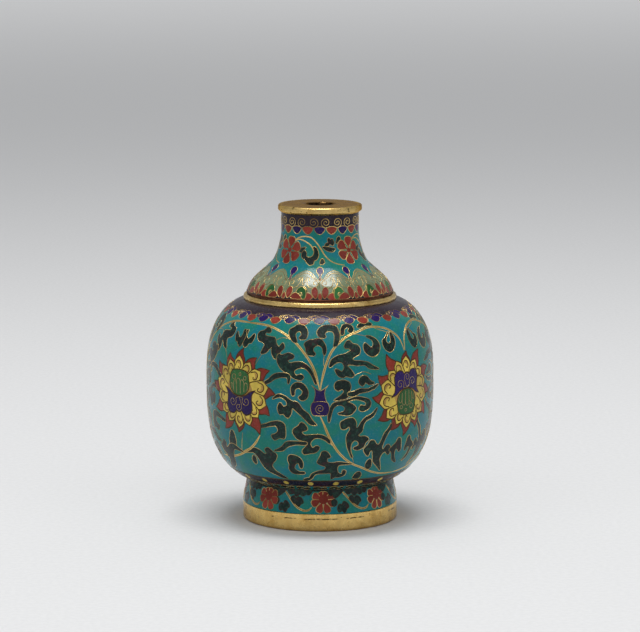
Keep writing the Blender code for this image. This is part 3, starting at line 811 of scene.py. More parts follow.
def body_pattern(surface):
    """The lotus scroll: the front, its narrower mirror image beside it, and both again behind."""
    dotted = surface.reach["bead_enamel"]
    bands = (("plum", -1, COLLAR_BAND), ("navy", dotted[0] - NAVY_MARGIN, dotted[1] + NAVY_MARGIN))
    pattern = Pattern(surface, "turquoise", bands)
    for path in STEMS:
        pattern.stem(path)
    for path in STALKS:
        pattern.line(path)
    for points in RIGHT_LEAVES + LEFT_LEAVES:
        pattern.cell("leaf", points, grow=LEAF_GROWTH)
    pattern.cell("violet", mirrored(BUD_HALF))
    pattern.line(BUD_WAIST)
    pattern.line(spiral(*BUD_CURL, float(surface.across(24))), "crown")

    middle = (LEFT_BLOSSOM + RIGHT_BLOSSOM) / 2
    squeeze = 180 / (RIGHT_BLOSSOM - LEFT_BLOSSOM) - 1

    def beside(flat):
        return np.stack((90 + middle - (flat[:, 0] - middle) * squeeze, flat[:, 1]), axis=1)

    pattern.parts += [part.moved(beside) for part in pattern.parts]
    pattern.stem(SIDE_STEM)
    pattern.line(SIDE_STALK)
    for points in SIDE_LEAVES:
        pattern.cell("leaf", points, grow=LEAF_GROWTH)
    blossom(pattern, (LEFT_BLOSSOM, BLOSSOM_DOWN), 180)
    blossom(pattern, (RIGHT_BLOSSOM, BLOSSOM_DOWN), 0)
    pattern.repeat(2)

    spread = FULL_TURN / COLLAR_LAPPETS
    across = float(surface.across(COLLAR_BAND))
    for i in range(0, COLLAR_LAPPETS, 2):
        pattern.cell("violet", shifted(COLLAR_CLOUD, LAPPET_START + i * spread), step=SMALL_STEP)
    for i in range(COLLAR_LAPPETS):
        place = LAPPET_START + i * spread
        colour, top, side = ("red", 4.5, 1) if i % 2 else ("violet", 4.3, -1)
        lobe = [(place + 0.36 * spread * x, top + y) for x, y in COLLAR_LOBE]
        pattern.cell(colour, lobe, step=SMALL_STEP)
        curl = spiral((place + spread * 0.4 * side, 4), side * 150, side * 1.4, 0.75, 0.15, across)
        pattern.line(curl, step=FINE_STEP)
    for i in range(BEAD_DOTS):
        place = (BEAD_START + i * FULL_TURN / BEAD_DOTS, (dotted[0] + dotted[1]) / 2)
        pattern.cell("yellow", ring(10, *BEAD_DOT), at=place, step=SMALL_STEP)
    for i in range(WAIST_LEAVES):
        pattern.cell("leaf", shifted(WAIST_LEAF, i * FULL_TURN / WAIST_LEAVES), step=WAIST_STEP)
    return pattern


def neck_pattern(surface):
    """The neck's band and flowers and the dome's panels."""
    pattern = Pattern(surface, "turquoise", (("plum", -1, NECK_BAND), ("plum", DOME_BAND, 30)))
    for path in NECK_STEMS:
        pattern.line(path, "stem")
    for points in NECK_LEAVES:
        pattern.cell("leaf", points, grow=LEAF_GROWTH / 2)
    petals(pattern, NECK_BLOSSOM, NECK_PETALS, NECK_HEART)
    pattern.repeat(NECK_QUARTERS)

    panel = FULL_TURN / DOME_PANELS
    turns = [FULL_TURN * i / DOME_PANELS for i in range(DOME_PANELS)]
    for turn in turns:
        edge = smooth(shifted(RUYI_EDGE, turn), False, STEP, 0.2)
        foot = [(panel + turn, PANEL_END), (turn, PANEL_END)]
        pattern.parts.append(Part("pale_green", np.concatenate((edge, foot)), "scroll"))
    for turn in turns:
        pattern.cell("violet", shifted(DOME_BUD, turn), step=FINE_STEP)
        for side in (-1, 1):
            pattern.line(shifted(DOME_CURL, turn, -side), "crown", step=FINE_STEP)
            pattern.line(shifted(DOME_ARCH, turn, side), "crown")
            pattern.line(shifted(DOME_RISE, turn, side), "crown", step=FINE_STEP)
        pattern.cell("plum", shifted(HALF_BLOSSOM_BACK, turn), None, step=FINE_STEP)
        for side in (-1, 1):
            pattern.cell("pod", shifted(DOME_LEAF, turn, side), step=FINE_STEP)
            for points in HALF_BLOSSOM_SIDE:
                pattern.cell("red", shifted(points, turn, -side), step=FINE_STEP)
        pattern.cell("red", shifted(HALF_BLOSSOM_MIDDLE, turn), step=FINE_STEP)

    spread = FULL_TURN / NECK_LAPPETS
    across = float(surface.across(1.5))
    for i in range(NECK_LAPPETS):
        place = LAPPET_START + i * spread
        colour, side = ("red", -1) if i % 2 else ("violet", 1)
        lobe = [(place + 0.42 * spread * x, y) for x, y in NECK_LOBE]
        pattern.cell(colour, lobe, step=SMALL_STEP)
        curl = spiral((place + spread / 2, 1.55), side * 130, side * 1.9, 1.2, 0.15, across)
        pattern.line(curl, step=FINE_STEP)
    return pattern


def foot_pattern(surface):
    """Eight blossoms round the foot, with a stem and leaves between each two."""
    # The leaf-green strip along the foot's top edge is painted shadow, where the body above shades
    # the foot.
    pattern = Pattern(surface, "turquoise", (("leaf", -1, 0.4),))
    across = FOOT_BLOSSOM[0]
    pattern.stem(shifted(FOOT_STEM, across))
    for points in FOOT_LEAVES:
        pattern.cell("leaf", shifted(points, across), "leaf", grow=1.3 * LEAF_GROWTH)
    petals(pattern, FOOT_BLOSSOM, FOOT_PETALS, FOOT_HEART)
    pattern.repeat(FOOT_BLOSSOMS)
    return pattern


# The skins of each part of the bottle, and the pattern on them
PARTS = {
    "neck": (NECK_SKINS, neck_pattern),
    "body": (BODY_SKINS, body_pattern),
    "foot": (FOOT_SKINS, foot_pattern),
}
made_patterns = {}


def flat_mesh(begin, end, upper, lower, scale, fill, outlines, down_step):
    """Triangles over one turn of a skin between two rows of angles, split along the outlines."""
    rows = max(2, math.ceil((end - begin) / down_step))
    side = np.linspace(begin, end, rows + 1)
    chains = [([(angle, begin) for angle in upper], False)]
    chains += [([(angle, end) for angle in lower], False)]
    chains += [([(angle, down) for down in side], False) for angle in (-180.0, 180.0)]
    points = []
    edges = []
    for places, closed in chains + outlines:
        start = len(points)
        points.extend(map(tuple, places))
        edges.extend((i, i + 1) for i in range(start, len(points) - 1))
        if closed:
            edges.append((len(points) - 1, start))
    held = np.array(points) * (scale, 1)
    across = np.arange(-180 + fill / scale, 180 - fill / scale / 2, fill / scale)
    grid = []
    downs = np.arange(begin + fill * FIRST_ROW, end - fill * LAST_ROW, fill * ROW_SHARE)
    for row, down in enumerate(downs):
        shift = 0.5 * fill / scale * (row % 2)
        grid += [(angle + shift, down) for angle in across]
    if grid:
        grid = np.array(grid)
        near = np.zeros(len(grid), bool)
        for start in range(0, len(grid), BLOCK):
            block = grid[start:start + BLOCK] * (scale, 1)
            gap = np.abs(block[:, None] - held[None]).max(axis=2).min(axis=1)
            near[start:start + BLOCK] = gap < fill * CLEAR_SHARE
        grid = grid[~near & (np.abs(grid[:, 0]) < 180 - SEAM_SHARE * fill / scale)]
        points.extend(map(tuple, grid))
    flat = [Vector((x * scale, y)) for x, y in points]
    made = delaunay_2d_cdt(flat, edges, [], 0, MERGE, False)
    places = np.array([tuple(place) for place in made[0]]) / (scale, 1)
    faces = np.array(made[2])
    middle = places[faces].mean(axis=1)
    kept = (np.abs(middle[:, 0]) < 180) & (middle[:, 1] > begin) & (middle[:, 1] < end)
    return Sheet(places, faces[kept], middle[kept], begin, end)


class Sheet:
    """Flat triangles over one turn of a skin, and the points of its sides."""

    def __init__(self, places, faces, middle, begin, end):
        self.places = places
        self.faces = faces
        self.middle = middle
        pairs = np.concatenate([faces[:, pair] for pair in ((0, 1), (1, 2), (2, 0))])
        found, times = np.unique(np.sort(pairs, axis=1), axis=0, return_counts=True)
        rim = np.unique(found[times == 1])
        across, down = places[rim, 0], places[rim, 1]
        inner = np.abs(across) < SEAM_TURN
        near = np.where(inner, END_REACH, 4 * MERGE)
        self.upper = self.ordered(rim[np.abs(down - begin) < near], 0)
        self.lower = self.ordered(rim[np.abs(down - end) < near], 0)
        left = self.ordered(rim[~inner & (across < 0)], 1)
        right = self.ordered(rim[~inner & (across > 0)], 1)
        if len(left) != len(right):
            raise RuntimeError(f"The seam's sides have {len(left)} and {len(right)} points")
        self.same = np.arange(len(places))
        self.same[right] = left

    def ordered(self, points, axis):
        """Points in their order along one axis."""
        return points[np.argsort(self.places[points, axis])]

    def corners(self, mesh, places):
        """New vertices of a mesh at these places, with one vertex for both sides of the seam."""
        used = np.unique(self.same[self.faces])
        made = {int(i): mesh.verts.new(places[i]) for i in used}
        return {i: made[int(self.same[i])] for i in map(int, np.unique(self.faces))}


def stretch_of(surface, name):
    """Where a skin begins and ends, halfway across the small gap to a neighbour."""
    stretches = list(surface.reach.values())
    spot = list(surface.reach).index(name)
    begin, end = stretches[spot]
    if spot and begin - stretches[spot - 1][1] < SKIN_GAP:
        begin = (begin + stretches[spot - 1][1]) / 2
    if spot + 1 < len(stretches) and stretches[spot + 1][0] - end < SKIN_GAP:
        end = (end + stretches[spot + 1][0]) / 2
    return begin, end


def enamel_skin(name, pattern, sizes):
    """One enamel skin: cells of colour outside, a plain back, and walls that close it."""
    surface = pattern.surface
    begin, end = stretch_of(surface, name)
    cells = []
    for part in pattern.everywhere():
        if part.colour and part.high[0] > -180 and part.low[0] < 180:
            if part.high[1] > begin and part.low[1] < end:
                cells.append(part)
    outlines = [(cell.points, True) for cell in cells]
    stations = np.linspace(-180, 180, sizes.around + 1)
    for _, *edges in pattern.bands:
        for row in edges:
            if begin < row < end:
                outlines.append(([(angle, row) for angle in stations], False))
    scale = float(surface.across((begin + end) / 2))
    fill = sizes.fill / MM
    sheet = flat_mesh(begin, end, stations, stations, scale, fill, outlines, fill)
    middle = sheet.middle
    kinds = np.zeros(len(middle), int)
    tones = np.zeros(len(middle))
    palette = [pattern.ground]
    for colour, top, bottom in pattern.bands:
        held = (middle[:, 1] > top) & (middle[:, 1] < bottom)
        if held.any():
            palette.append(colour)
            kinds[held] = len(palette) - 1
    chance = random.Random(name)
    for cell in cells:
        held = cell.holds(middle)
        if held.any():
            if cell.colour not in palette:
                palette.append(cell.colour)
            kinds[held] = palette.index(cell.colour)
            tones[held] = chance.uniform(-1, 1)

    upper, lower = (sheet.places[row, 0] for row in (sheet.upper, sheet.lower))
    back = flat_mesh(begin, end, upper, lower, scale, BACK_FACET, [], end - begin)
    mesh = bmesh.new()
    tone_layer = mesh.faces.layers.float.new("tone")
    outer = sheet.corners(mesh, surface.places(sheet.places))
    inner = back.corners(mesh, surface.places(back.places, -sizes.thickness / MM))

    def face(corners, kind=0, tone=0.0, is_smooth=True):
        made = mesh.faces.new(corners)
        made.material_index = kind
        made.smooth = is_smooth
        made[tone_layer] = tone

    for corners, kind, tone in zip(sheet.faces, kinds, tones):
        face([outer[i] for i in corners], int(kind), float(tone))
    for corners in back.faces:
        face([inner[i] for i in reversed(corners)])
    for front, behind in ((sheet.upper, back.upper), (sheet.lower, back.lower)):
        for i in range(len(front) - 1):
            wall = [outer[front[i]], outer[front[i + 1]], inner[behind[i + 1]], inner[behind[i]]]
            face(wall, is_smooth=False)
    bmesh.ops.recalc_face_normals(mesh, faces=mesh.faces)
    for edge in mesh.edges:
        if len(edge.link_faces) != 2:
            raise RuntimeError(f"{name} has a torn edge")
        if edge.link_faces[0].smooth != edge.link_faces[1].smooth:
            edge.smooth = False
    return new_object(name + "_cells", mesh, [enamel(colour) for colour in palette])


def new_object(name, mesh, materials):
    """A new object at the origin from mesh code."""
    data = bpy.data.meshes.new(name)
    mesh.to_mesh(data)
    mesh.free()
    for material in materials:
        data.materials.append(material)
    made = bpy.data.objects.new(name, data)
    bpy.context.scene.collection.objects.link(made)
    return made


def wire_tree():
    """Geometry nodes that sweep a round wire along curves."""
    name = "Wire along lines"
    if name in bpy.data.node_groups:
        return bpy.data.node_groups[name]
    tree = bpy.data.node_groups.new(name, "GeometryNodeTree")
    for entry in ("Lines Geometry", "Width Float", "Sides Int", "Material Material"):
        title, kind = entry.split()
        socket = tree.interface.new_socket(title, in_out="INPUT", socket_type="NodeSocket" + kind)
        if title == "Width":
            socket.subtype = "DISTANCE"
    tree.interface.new_socket("Wires", in_out="OUTPUT", socket_type="NodeSocketGeometry")
    start = tree.nodes.new("NodeGroupInput")
    half = tree.nodes.new("ShaderNodeMath")
    half.operation = "MULTIPLY"
    half.inputs[1].default_value = 0.5
    circle = tree.nodes.new("GeometryNodeCurvePrimitiveCircle")
    sweep = tree.nodes.new("GeometryNodeCurveToMesh")
    sweep.inputs["Fill Caps"].default_value = True
    shade = tree.nodes.new("GeometryNodeSetShadeSmooth")
    real = tree.nodes.new("GeometryNodeRealizeInstances")
    paint = tree.nodes.new("GeometryNodeSetMaterial")
    end = tree.nodes.new("NodeGroupOutput")
    for source, output, target, entry in (
        (start, "Lines", sweep, "Curve"),
        (start, "Width", half, 0),
        (half, 0, circle, "Radius"),
        (start, "Sides", circle, "Resolution"),
        (circle, "Curve", sweep, "Profile Curve"),
        (sweep, "Mesh", shade, "Geometry"),
        (shade, "Geometry", real, "Geometry"),
        (real, "Geometry", paint, "Geometry"),
        (start, "Material", paint, "Material"),
        (paint, "Geometry", end, "Wires"),
    ):
        tree.links.new(source.outputs[output], target.inputs[entry])
    return tree


def thinned(places, slack):
    """A line without the points that lie nearer than the slack to the chord of their neighbours."""
    for _ in range(2):
        odd = np.arange(1, len(places) - 1, 2)
        chord = places[odd + 1] - places[odd - 1]
        off = np.linalg.norm(np.cross(places[odd] - places[odd - 1], chord), axis=1)
        off /= np.maximum(np.linalg.norm(chord, axis=1), 1e-9)
        places = np.delete(places, odd[off < slack], axis=0)
    return places


def wire_piece(name, pattern, kinds, finish, lift, width, sides):
    """All the wires of some kinds on a pattern, as one piece."""
    data = bpy.data.curves.new(name + "_lines", "CURVE")
    data.dimensions = "3D"
    length = pattern.surface.down[-1]
    for kind in kinds:
        for run, closed in pattern.wires(kind):
            run = run[(run[:, 1] > WIRE_END) & (run[:, 1] < length - WIRE_END)]
            if len(run) < 3:
                continue
            places = thinned(pattern.surface.places(run, lift), WIRE_SLACK)
            spline = data.splines.new("POLY")
            spline.points.add(len(places) - 1)
            weighted = np.column_stack((places, np.ones(len(places))))
            spline.points.foreach_set("co", weighted.ravel())
            spline.use_cyclic_u = bool(closed)
    lines = bpy.data.objects.new(name + "_lines", data)
    bpy.context.scene.collection.objects.link(lines)
    tree = wire_tree()
    modifier = lines.modifiers.new("Wire", "NODES")
    modifier.node_group = tree
    values = {"Width": width, "Sides": sides, "Material": finish}
    for item in tree.interface.items_tree:
        if item.item_type == "SOCKET" and item.in_out == "INPUT" and item.name in values:
            modifier[item.identifier] = values[item.name]
    evaluated = lines.evaluated_get(bpy.context.evaluated_depsgraph_get())
    mesh = bpy.data.meshes.new_from_object(evaluated)
    bpy.data.objects.remove(lines, do_unlink=True)
    mesh.name = name
    made = bpy.data.objects.new(name, mesh)
    bpy.context.scene.collection.objects.link(made)
    if not mesh.materials:
        mesh.materials.append(finish)
    return made


def gilt_ring(name, profile, finish, dents, scale):
    """A ring turned from a closed section, a little uneven as hand work is, for its CAD node.

    Its dents are so many times as deep as the setting says, and have this scale to a millimetre.
    """
    metal = bpy.context.scene.metal_finish
    wobble = dents * metal.unevenness / MM
    mesh = bmesh.new()
    rows = []
    for i in range(metal.around):
        turn = math.tau * i / metal.around
        across = Vector((math.sin(turn), -math.cos(turn), 0))
        row = []
        for radius, height in profile:
            place = across * radius + Vector((0, 0, height))
            shift = noise.noise(place * scale) * wobble
            row.append(mesh.verts.new((place - across * abs(shift)) * MM))
        rows.append(row)
    for here, there in zip(rows, rows[1:] + rows[:1]):
        for k in range(len(profile)):
            after = (k + 1) % len(profile)
            mesh.faces.new((here[k], there[k], there[after], here[after])).smooth = True
    bmesh.ops.recalc_face_normals(mesh, faces=mesh.faces)
    put(new_object(name + "_gilt", mesh, [gilding(finish)]), name)


def filleted(corners, radii, steps=6):
    """A closed section whose corners are rounded by these radii, in some steps each."""
    section = []
    count = len(corners)
    for i, (corner, radius) in enumerate(zip(corners, radii)):
        corner = Vector(corner)
        if radius <= 0:
            section.append(tuple(corner))
            continue
        one = (Vector(corners[i - 1]) - corner).normalized()
        two = (Vector(corners[(i + 1) % count]) - corner).normalized()
        bend = one.angle(two)
        length = radius / math.tan(bend / 2)
        start, finish = corner + one * length, corner + two * length
        centre = corner + (one + two).normalized() * (radius / math.sin(bend / 2))
        for k in range(steps + 1):
            toward = (start - centre).slerp(finish - centre, k / steps)
            section.append(tuple(centre + toward * radius))
    return section


def divided(section, most=0.5):
    """A closed section split into steps of this many millimetres at most, so that dents show."""
    points = []
    for here, there in zip(section, section[1:] + section[:1]):
        steps = max(1, math.ceil(math.dist(here, there) / most))
        for k in range(steps):
            share = k / steps
            points.append(tuple(a + (b - a) * share for a, b in zip(here, there)))
    return points


class Finish:
    """A new material, and the nodes that work out what its shader is given."""

    def __init__(self, name):
        self.material = bpy.data.materials.new(name)
        self.material.use_nodes = True
        self.tree = self.material.node_tree
        self.place = self.node("TexCoord").outputs["Object"]

    def fill(self, node, inputs):
        """Sets or links a node's inputs, by their names or numbers."""
        for key, value in inputs.items():
            if isinstance(value, bpy.types.NodeSocket):
                self.tree.links.new(value, node.inputs[key])
            else:
                node.inputs[key].default_value = value

    def node(self, kind, **inputs):
        """A new shader node with these inputs."""
        made = self.tree.nodes.new("ShaderNode" + kind)
        self.fill(made, inputs)
        return made

    def noise(self, scale, detail=3.0, roughness=0.5, place=None):
        """Clouds, so many to a metre."""
        place = place or self.place
        made = self.node("TexNoise", Scale=scale, Detail=detail, Roughness=roughness, Vector=place)
        return made.outputs["Fac"]

    def ramp(self, source, low, high, first=0.0, last=1.0):
        """Maps one range of a value to another, held at its ends."""
        made = self.node("MapRange", Value=source)
        made.interpolation_type = "SMOOTHSTEP"
        self.fill(made, {"From Min": low, "From Max": high, "To Min": first, "To Max": last})
        return made.outputs["Result"]

    def maths(self, operation, *values):
        """What a sum of this kind gives for the values."""
        made = self.node("Math")
        made.operation = operation
        self.fill(made, dict(enumerate(values)))
        return made.outputs[0]

    def times(self, first, second):
        return self.maths("MULTIPLY", first, second)

    def mix(self, share, first, second):
        """One colour over another by a share. A mixing node's colours are its inputs 6 and 7."""
        made = self.node("Mix")
        made.data_type = "RGBA"
        colours = [(*value, 1) if isinstance(value, tuple) else value for value in (first, second)]
        self.fill(made, {0: share, 6: colours[0], 7: colours[1]})
        return made.outputs[2]

    def pits(self, scale, size, share):
        """Small round pits, on some of the cells of a Voronoi pattern only."""
        made = self.node("TexVoronoi", Scale=scale, Vector=self.place)
        split = self.node("SeparateColor", Color=made.outputs["Color"])
        hole = self.ramp(made.outputs["Distance"], size * 0.4, size, 1.0, 0.0)
        return self.times(hole, self.maths("LESS_THAN", split.outputs["Red"], share))

    def around_axis(self):
        """The distance from the bottle's axis, the angle round from the front, and the height."""
        x, y, z = self.node("SeparateXYZ", Vector=self.place).outputs
        square = self.maths("ADD", self.times(x, x), self.times(y, y))
        return self.maths("SQRT", square), self.maths("ARCTAN2", x, self.times(y, -1.0)), z

    def done(self, inputs, height=None, strength=0.0, distance=0.0):
        """The material, with these inputs of its shader and a bump of this height."""
        if height:
            bump = self.node("Bump", Strength=strength, Distance=distance, Height=height)
            inputs["Normal"] = bump.outputs["Normal"]
        self.fill(self.tree.nodes["Principled BSDF"], inputs)
        return self.material


def scaled(colour, factors):
    """A colour with each of its channels multiplied by its own factor."""
    return tuple(value * factor for value, factor in zip(colour, factors))


def enamel(colour):
    """Glass enamel: clouds, pinholes and a soft polish, with each cell of its own tone."""
    name = "enamel_" + colour
    if name in bpy.data.materials:
        return bpy.data.materials[name]
    finish = Finish(name)
    base = tuple(getattr(bpy.context.scene.enamel_colours, colour))
    cool, warm = TURQUOISE_CLOUDS if colour == "turquoise" else PLAIN_CLOUDS
    cloud = finish.ramp(finish.noise(260.0, 3.0, 0.55), 0.38, 0.64)
    paint = finish.mix(cloud, scaled(base, cool), scaled(base, warm))
    grain = finish.ramp(finish.noise(2400.0, 3.0, 0.6), 0.52, 0.74, 0.0, 0.6)
    paint = finish.mix(grain, paint, tuple(value + (0.7 - value) * 0.07 for value in base))
    if colour == "leaf":
        for scale, roughness, low, high, stain in LEAF_STAINS:
            share = finish.ramp(finish.noise(scale, 4.0, roughness), low, high, 0.0, 0.75)
            paint = finish.mix(share, paint, stain)
    tone = finish.node("Attribute")
    tone.attribute_name = "tone"
    light = finish.ramp(tone.outputs["Fac"], -1.0, 1.0, 0.82, 1.18)
    paint = finish.node("HueSaturation", Value=light, Color=paint).outputs["Color"]
    holes = finish.pits(1300.0, 0.15, 0.14)
    polish = finish.ramp(finish.noise(520.0), 0.35, 0.7, 0.15, 0.28)
    inputs = {
        "Base Color": finish.mix(finish.times(holes, 0.75), paint, scaled(base, (0.16,) * 3)),
        "Roughness": finish.maths("ADD", polish, finish.times(holes, 0.3)),
        "Specular IOR Level": 0.5 if colour == "pale_green" else 0.18,
    }
    height = finish.maths("SUBTRACT", finish.noise(420.0, 2.0), finish.times(holes, 0.8))
    return finish.done(inputs, height, 0.3, 0.0001)


def gilding(name):
    """Fire gilding on copper: uneven gold, brown where it is rubbed through, with fine pits."""
    if name in bpy.data.materials:
        return bpy.data.materials[name]
    finish = Finish(name)
    metal = bpy.context.scene.metal_finish
    kind, worn, rough, dents = GILDINGS[name]
    gold = tuple(getattr(metal, kind))
    cloud = finish.ramp(finish.noise(260.0, 5.0, 0.62), 0.42, 0.7)
    paint = finish.mix(cloud, gold, scaled(gold, GOLD_SHADE))
    rubbed = finish.ramp(finish.noise(900.0, 6.0, 0.68), 0.66 - worn * 0.3, 0.76)
    paint = finish.mix(finish.times(rubbed, worn * 2.0), paint, tuple(metal.copper))
    holes = finish.pits(1300.0, 0.2, 0.12)
    paint = finish.mix(finish.times(holes, 0.85), paint, PIT_BROWN)
    polish = finish.ramp(finish.noise(700.0, 4.0), 0.3, 0.7, rough - 0.08, rough + 0.12)
    polish = finish.maths("ADD", polish, finish.times(rubbed, 0.12))
    height = finish.maths("SUBTRACT", finish.noise(480.0, 4.0, 0.55), holes)
    inputs = {"Metallic": 1.0}
    if name == "gilt_wire":
        dim = finish.ramp(finish.noise(230.0, 2.0), 0.42, 0.6, 0.0, 0.72)
        paint = finish.mix(dim, paint, DIM_BROWN)
    if name == "gilt_lip":
        inputs["Specular Tint"] = (0.66, 0.5, 0.34, 1)
        paint, polish = worn_hole(finish, paint, polish)
    if name == "gilt_foot":
        paint, height = foot_marks(finish, paint, height)
    return finish.done({**inputs, "Base Color": paint, "Roughness": polish}, height, 0.5, dents)


def worn_hole(finish, paint, polish):
    """A browner plate, and brown wear round its hole, brown and sooty inside it."""
    away, _, _ = finish.around_axis()
    ragged = finish.times(finish.noise(700.0, 5.0, 0.65), 0.0022)
    edge = finish.maths("SUBTRACT", away, ragged)
    paint = finish.mix(finish.ramp(away, 0.0079, 0.0086, 0.85, 0.0), paint, PLATE_BROWN)
    paint = finish.mix(finish.ramp(edge, 0.0018, 0.0034, 0.7, 0.0), paint, WORN_BROWN)
    dark = finish.ramp(edge, 0.0015, 0.0024, 1.0, 0.0)
    paint = finish.mix(dark, paint, HOLE_BROWN)
    soot = finish.ramp(finish.noise(700.0, 3.0, 0.6), 0.45, 0.53)
    paint = finish.mix(finish.times(soot, dark), paint, SOOT)
    nicks = finish.ramp(finish.noise(1100.0, 4.0, 0.7), 0.61, 0.66)
    rim = finish.ramp(away, 0.0079, 0.0083)
    paint = finish.mix(finish.times(nicks, rim), paint, NICK_BROWN)
    return paint, finish.maths("ADD", polish, finish.times(dark, 0.3))


def foot_marks(finish, paint, height):
    """Upright streaks, a brown lower edge and the dark dashes of the foot rim's seam."""
    _, turn, up = finish.around_axis()
    tall = finish.node("Mapping", Vector=finish.place, Scale=(1.0, 1.0, 0.12))
    streaks = finish.noise(620.0, 4.0, 0.6, tall.outputs["Vector"])
    paint = finish.mix(finish.ramp(streaks, 0.45, 0.72, 0.0, 0.3), paint, STREAK_BROWN)
    low = finish.ramp(up, 0.0001, 0.0008, 0.6, 0.0)
    paint = finish.mix(low, paint, EDGE_BROWN)
    wander = finish.maths("ADD", up, finish.times(finish.noise(240.0, 2.0), 0.0003))
    away = finish.maths("ABSOLUTE", finish.maths("SUBTRACT", wander, SEAM_UP * MM))
    line = finish.ramp(away, 0.00005, 0.00017, 1.0, 0.0)
    spans = 0.0
    for start, end in SEAM_DASHES:
        middle, half = math.radians(start + end) / 2, math.radians(end - start) / 2
        off = finish.maths("ABSOLUTE", finish.maths("SUBTRACT", turn, middle))
        dash = finish.ramp(off, half - 0.02, half + 0.02, 1.0, 0.0)
        spans = finish.maths("MAXIMUM", spans, dash)
    ragged = finish.ramp(finish.noise(900.0, 5.0, 0.7), 0.4, 0.52)
    dashes = finish.times(finish.times(line, spans), ragged)
    paint = finish.mix(finish.times(dashes, 0.9), paint, SEAM_BROWN)
    return paint, finish.maths("SUBTRACT", height, finish.times(dashes, 1.5))


def bare_copper(name, copper):
    """Old raised copper, brown and dull, with hammer marks."""
    finish = Finish(name)
    cloud = finish.noise(220.0, 5.0, 0.65)
    dull = scaled(copper, (0.45,) * 3)
    inputs = {
        "Base Color": finish.mix(finish.ramp(cloud, 0.35, 0.7), copper, dull),
        "Metallic": 1.0,
        "Roughness": finish.ramp(cloud, 0.3, 0.7, 0.45, 0.7),
    }
    return finish.done(inputs, finish.noise(350.0), 0.4, 0.0002)


def length_property(name, description, default):
    return FloatProperty(
        name=name, description=description, default=default, unit="LENGTH", precision=5
    )


def count_property(name, description, default, least):
    return IntProperty(name=name, description=description, default=default, min=least)


def colour_property(name, description, default):
    return FloatVectorProperty(
        name=name, description=description, default=default,
        subtype="COLOR", size=3, min=0.0, max=1.0,
    )


class EnamelSizes(bpy.types.PropertyGroup):
    """Sizes of the enamel skins and their wires."""

    thickness: length_property("Skin thickness", "Thickness of the enamel", 0.5 * MM)
    fill: length_property("Facet", "Size of the facets inside a cell", 1.1 * MM)
    around: count_property("Steps round", "Facets round the edge of a skin", 240, 24)
    neck_wire: length_property("Neck wire", "Thickness of the wires of the neck", 0.19 * MM)
    body_wire: length_property(
        "Scroll wire", "Thickness of the wires of the scroll and the foot", 0.15 * MM
    )
    petal_wire: length_property(
        "Petal wire", "Thickness of the brown wires of the blossoms", 0.42 * MM
    )
    neck_stem: length_property("Neck stem", "Thickness of the wires of the neck's stems", 0.48 * MM)
    body_stem: length_property(
        "Scroll stem", "Thickness of the wires of the scroll's stems", 0.26 * MM
    )
    wire_proud: length_property(
        "Wire height", "How far the wires stand above the enamel", 0.04 * MM
    )
    wire_sides: count_property("Wire sides", "Facets round a wire", 6, 3)


class EnamelColours(bpy.types.PropertyGroup):
    """Colours of the enamel."""

    turquoise: colour_property("Turquoise", "Ground of the scroll", (0.006, 0.158, 0.152))
    leaf: colour_property("Leaf", "Dark green of the leaves", (0.005, 0.016, 0.013))
    red: colour_property("Red", "Brick red of the petals", (0.2, 0.027, 0.016))
    yellow: colour_property("Yellow", "Yellow of the inner petals and dots", (0.56, 0.42, 0.07))
    amber: colour_property("Amber", "Brown yellow inside the inner petals", (0.42, 0.25, 0.06))
    violet: colour_property(
        "Violet", "Blue violet of the crowns and lappets", (0.015, 0.004, 0.075)
    )
    pod: colour_property("Pod green", "Green of the pods and small leaves", (0.022, 0.1, 0.026))
    pale_green: colour_property("Pale green", "Panels of the dome", (0.155, 0.2, 0.105))
    navy: colour_property("Navy", "Band with the dots", (0.008, 0.008, 0.022))
    plum: colour_property("Plum", "Dark band of neck and collar", (0.021, 0.012, 0.02))
    ochre: colour_property("Ochre", "Brown between the two wires of a stem", (0.24, 0.17, 0.06))


class MetalFinish(bpy.types.PropertyGroup):
    """Colours and sizes of the gilt copper."""

    gold: colour_property("Gold", "Gilding of rims and wires", (0.66, 0.47, 0.18))
    # Painted shade: a near-black brown for the wires of the blossoms and the foot's leaves,
    # standing in for the dark reflections of these gilt wires
    painted_shade_gold: colour_property(
        "Worn gold", "Browner gilding in the blossoms", (0.075, 0.043, 0.018)
    )
    # Partly dull, worn gilding and partly painted shade, for the bead band's wires under the body's
    # swell
    dull_and_shaded_gold: colour_property(
        "Dull gold", "Dull gilding of the flat band wires", (0.13, 0.085, 0.035)
    )
    crown_gold: colour_property(
        "Crown gold", "Gilding of the lines on the crowns and pods", (0.36, 0.26, 0.12)
    )
    rim_gold: colour_property("Rim gold", "Gilding of the foot rim", (0.76, 0.52, 0.18))
    brown: colour_property(
        "Brown", "Red brown of the flat wire under the dome", (0.15, 0.055, 0.03)
    )
    copper: colour_property("Copper", "Bare copper under worn gilding", (0.3, 0.14, 0.08))
    unevenness: length_property("Unevenness", "Depth of the dents in the rims", 0.05 * MM)
    around: count_property("Steps round", "Facets round a rim", 240, 24)


def box_mm(name):
    """The lowest and the highest corner of a CAD node, in millimetres."""
    low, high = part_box(name)
    return [value / MM for value in low], [value / MM for value in high]


def put(made, name):
    """Puts a piece in the place of a CAD node."""
    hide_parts(name)
    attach(made, "root")


def pattern_of(part):
    """The pattern of the neck, the body or the foot, made once and kept for the wires."""
    if part not in made_patterns:
        skins, maker = PARTS[part]
        made_patterns[part] = maker(Surface(skins))
    return made_patterns[part]


def lay_skins(part):
    """The enamel skins of one part, each in place of its CAD node."""
    for name, slot in PARTS[part][0].items():
        put(enamel_skin(name, pattern_of(part), bpy.context.scene.enamel_sizes), name)


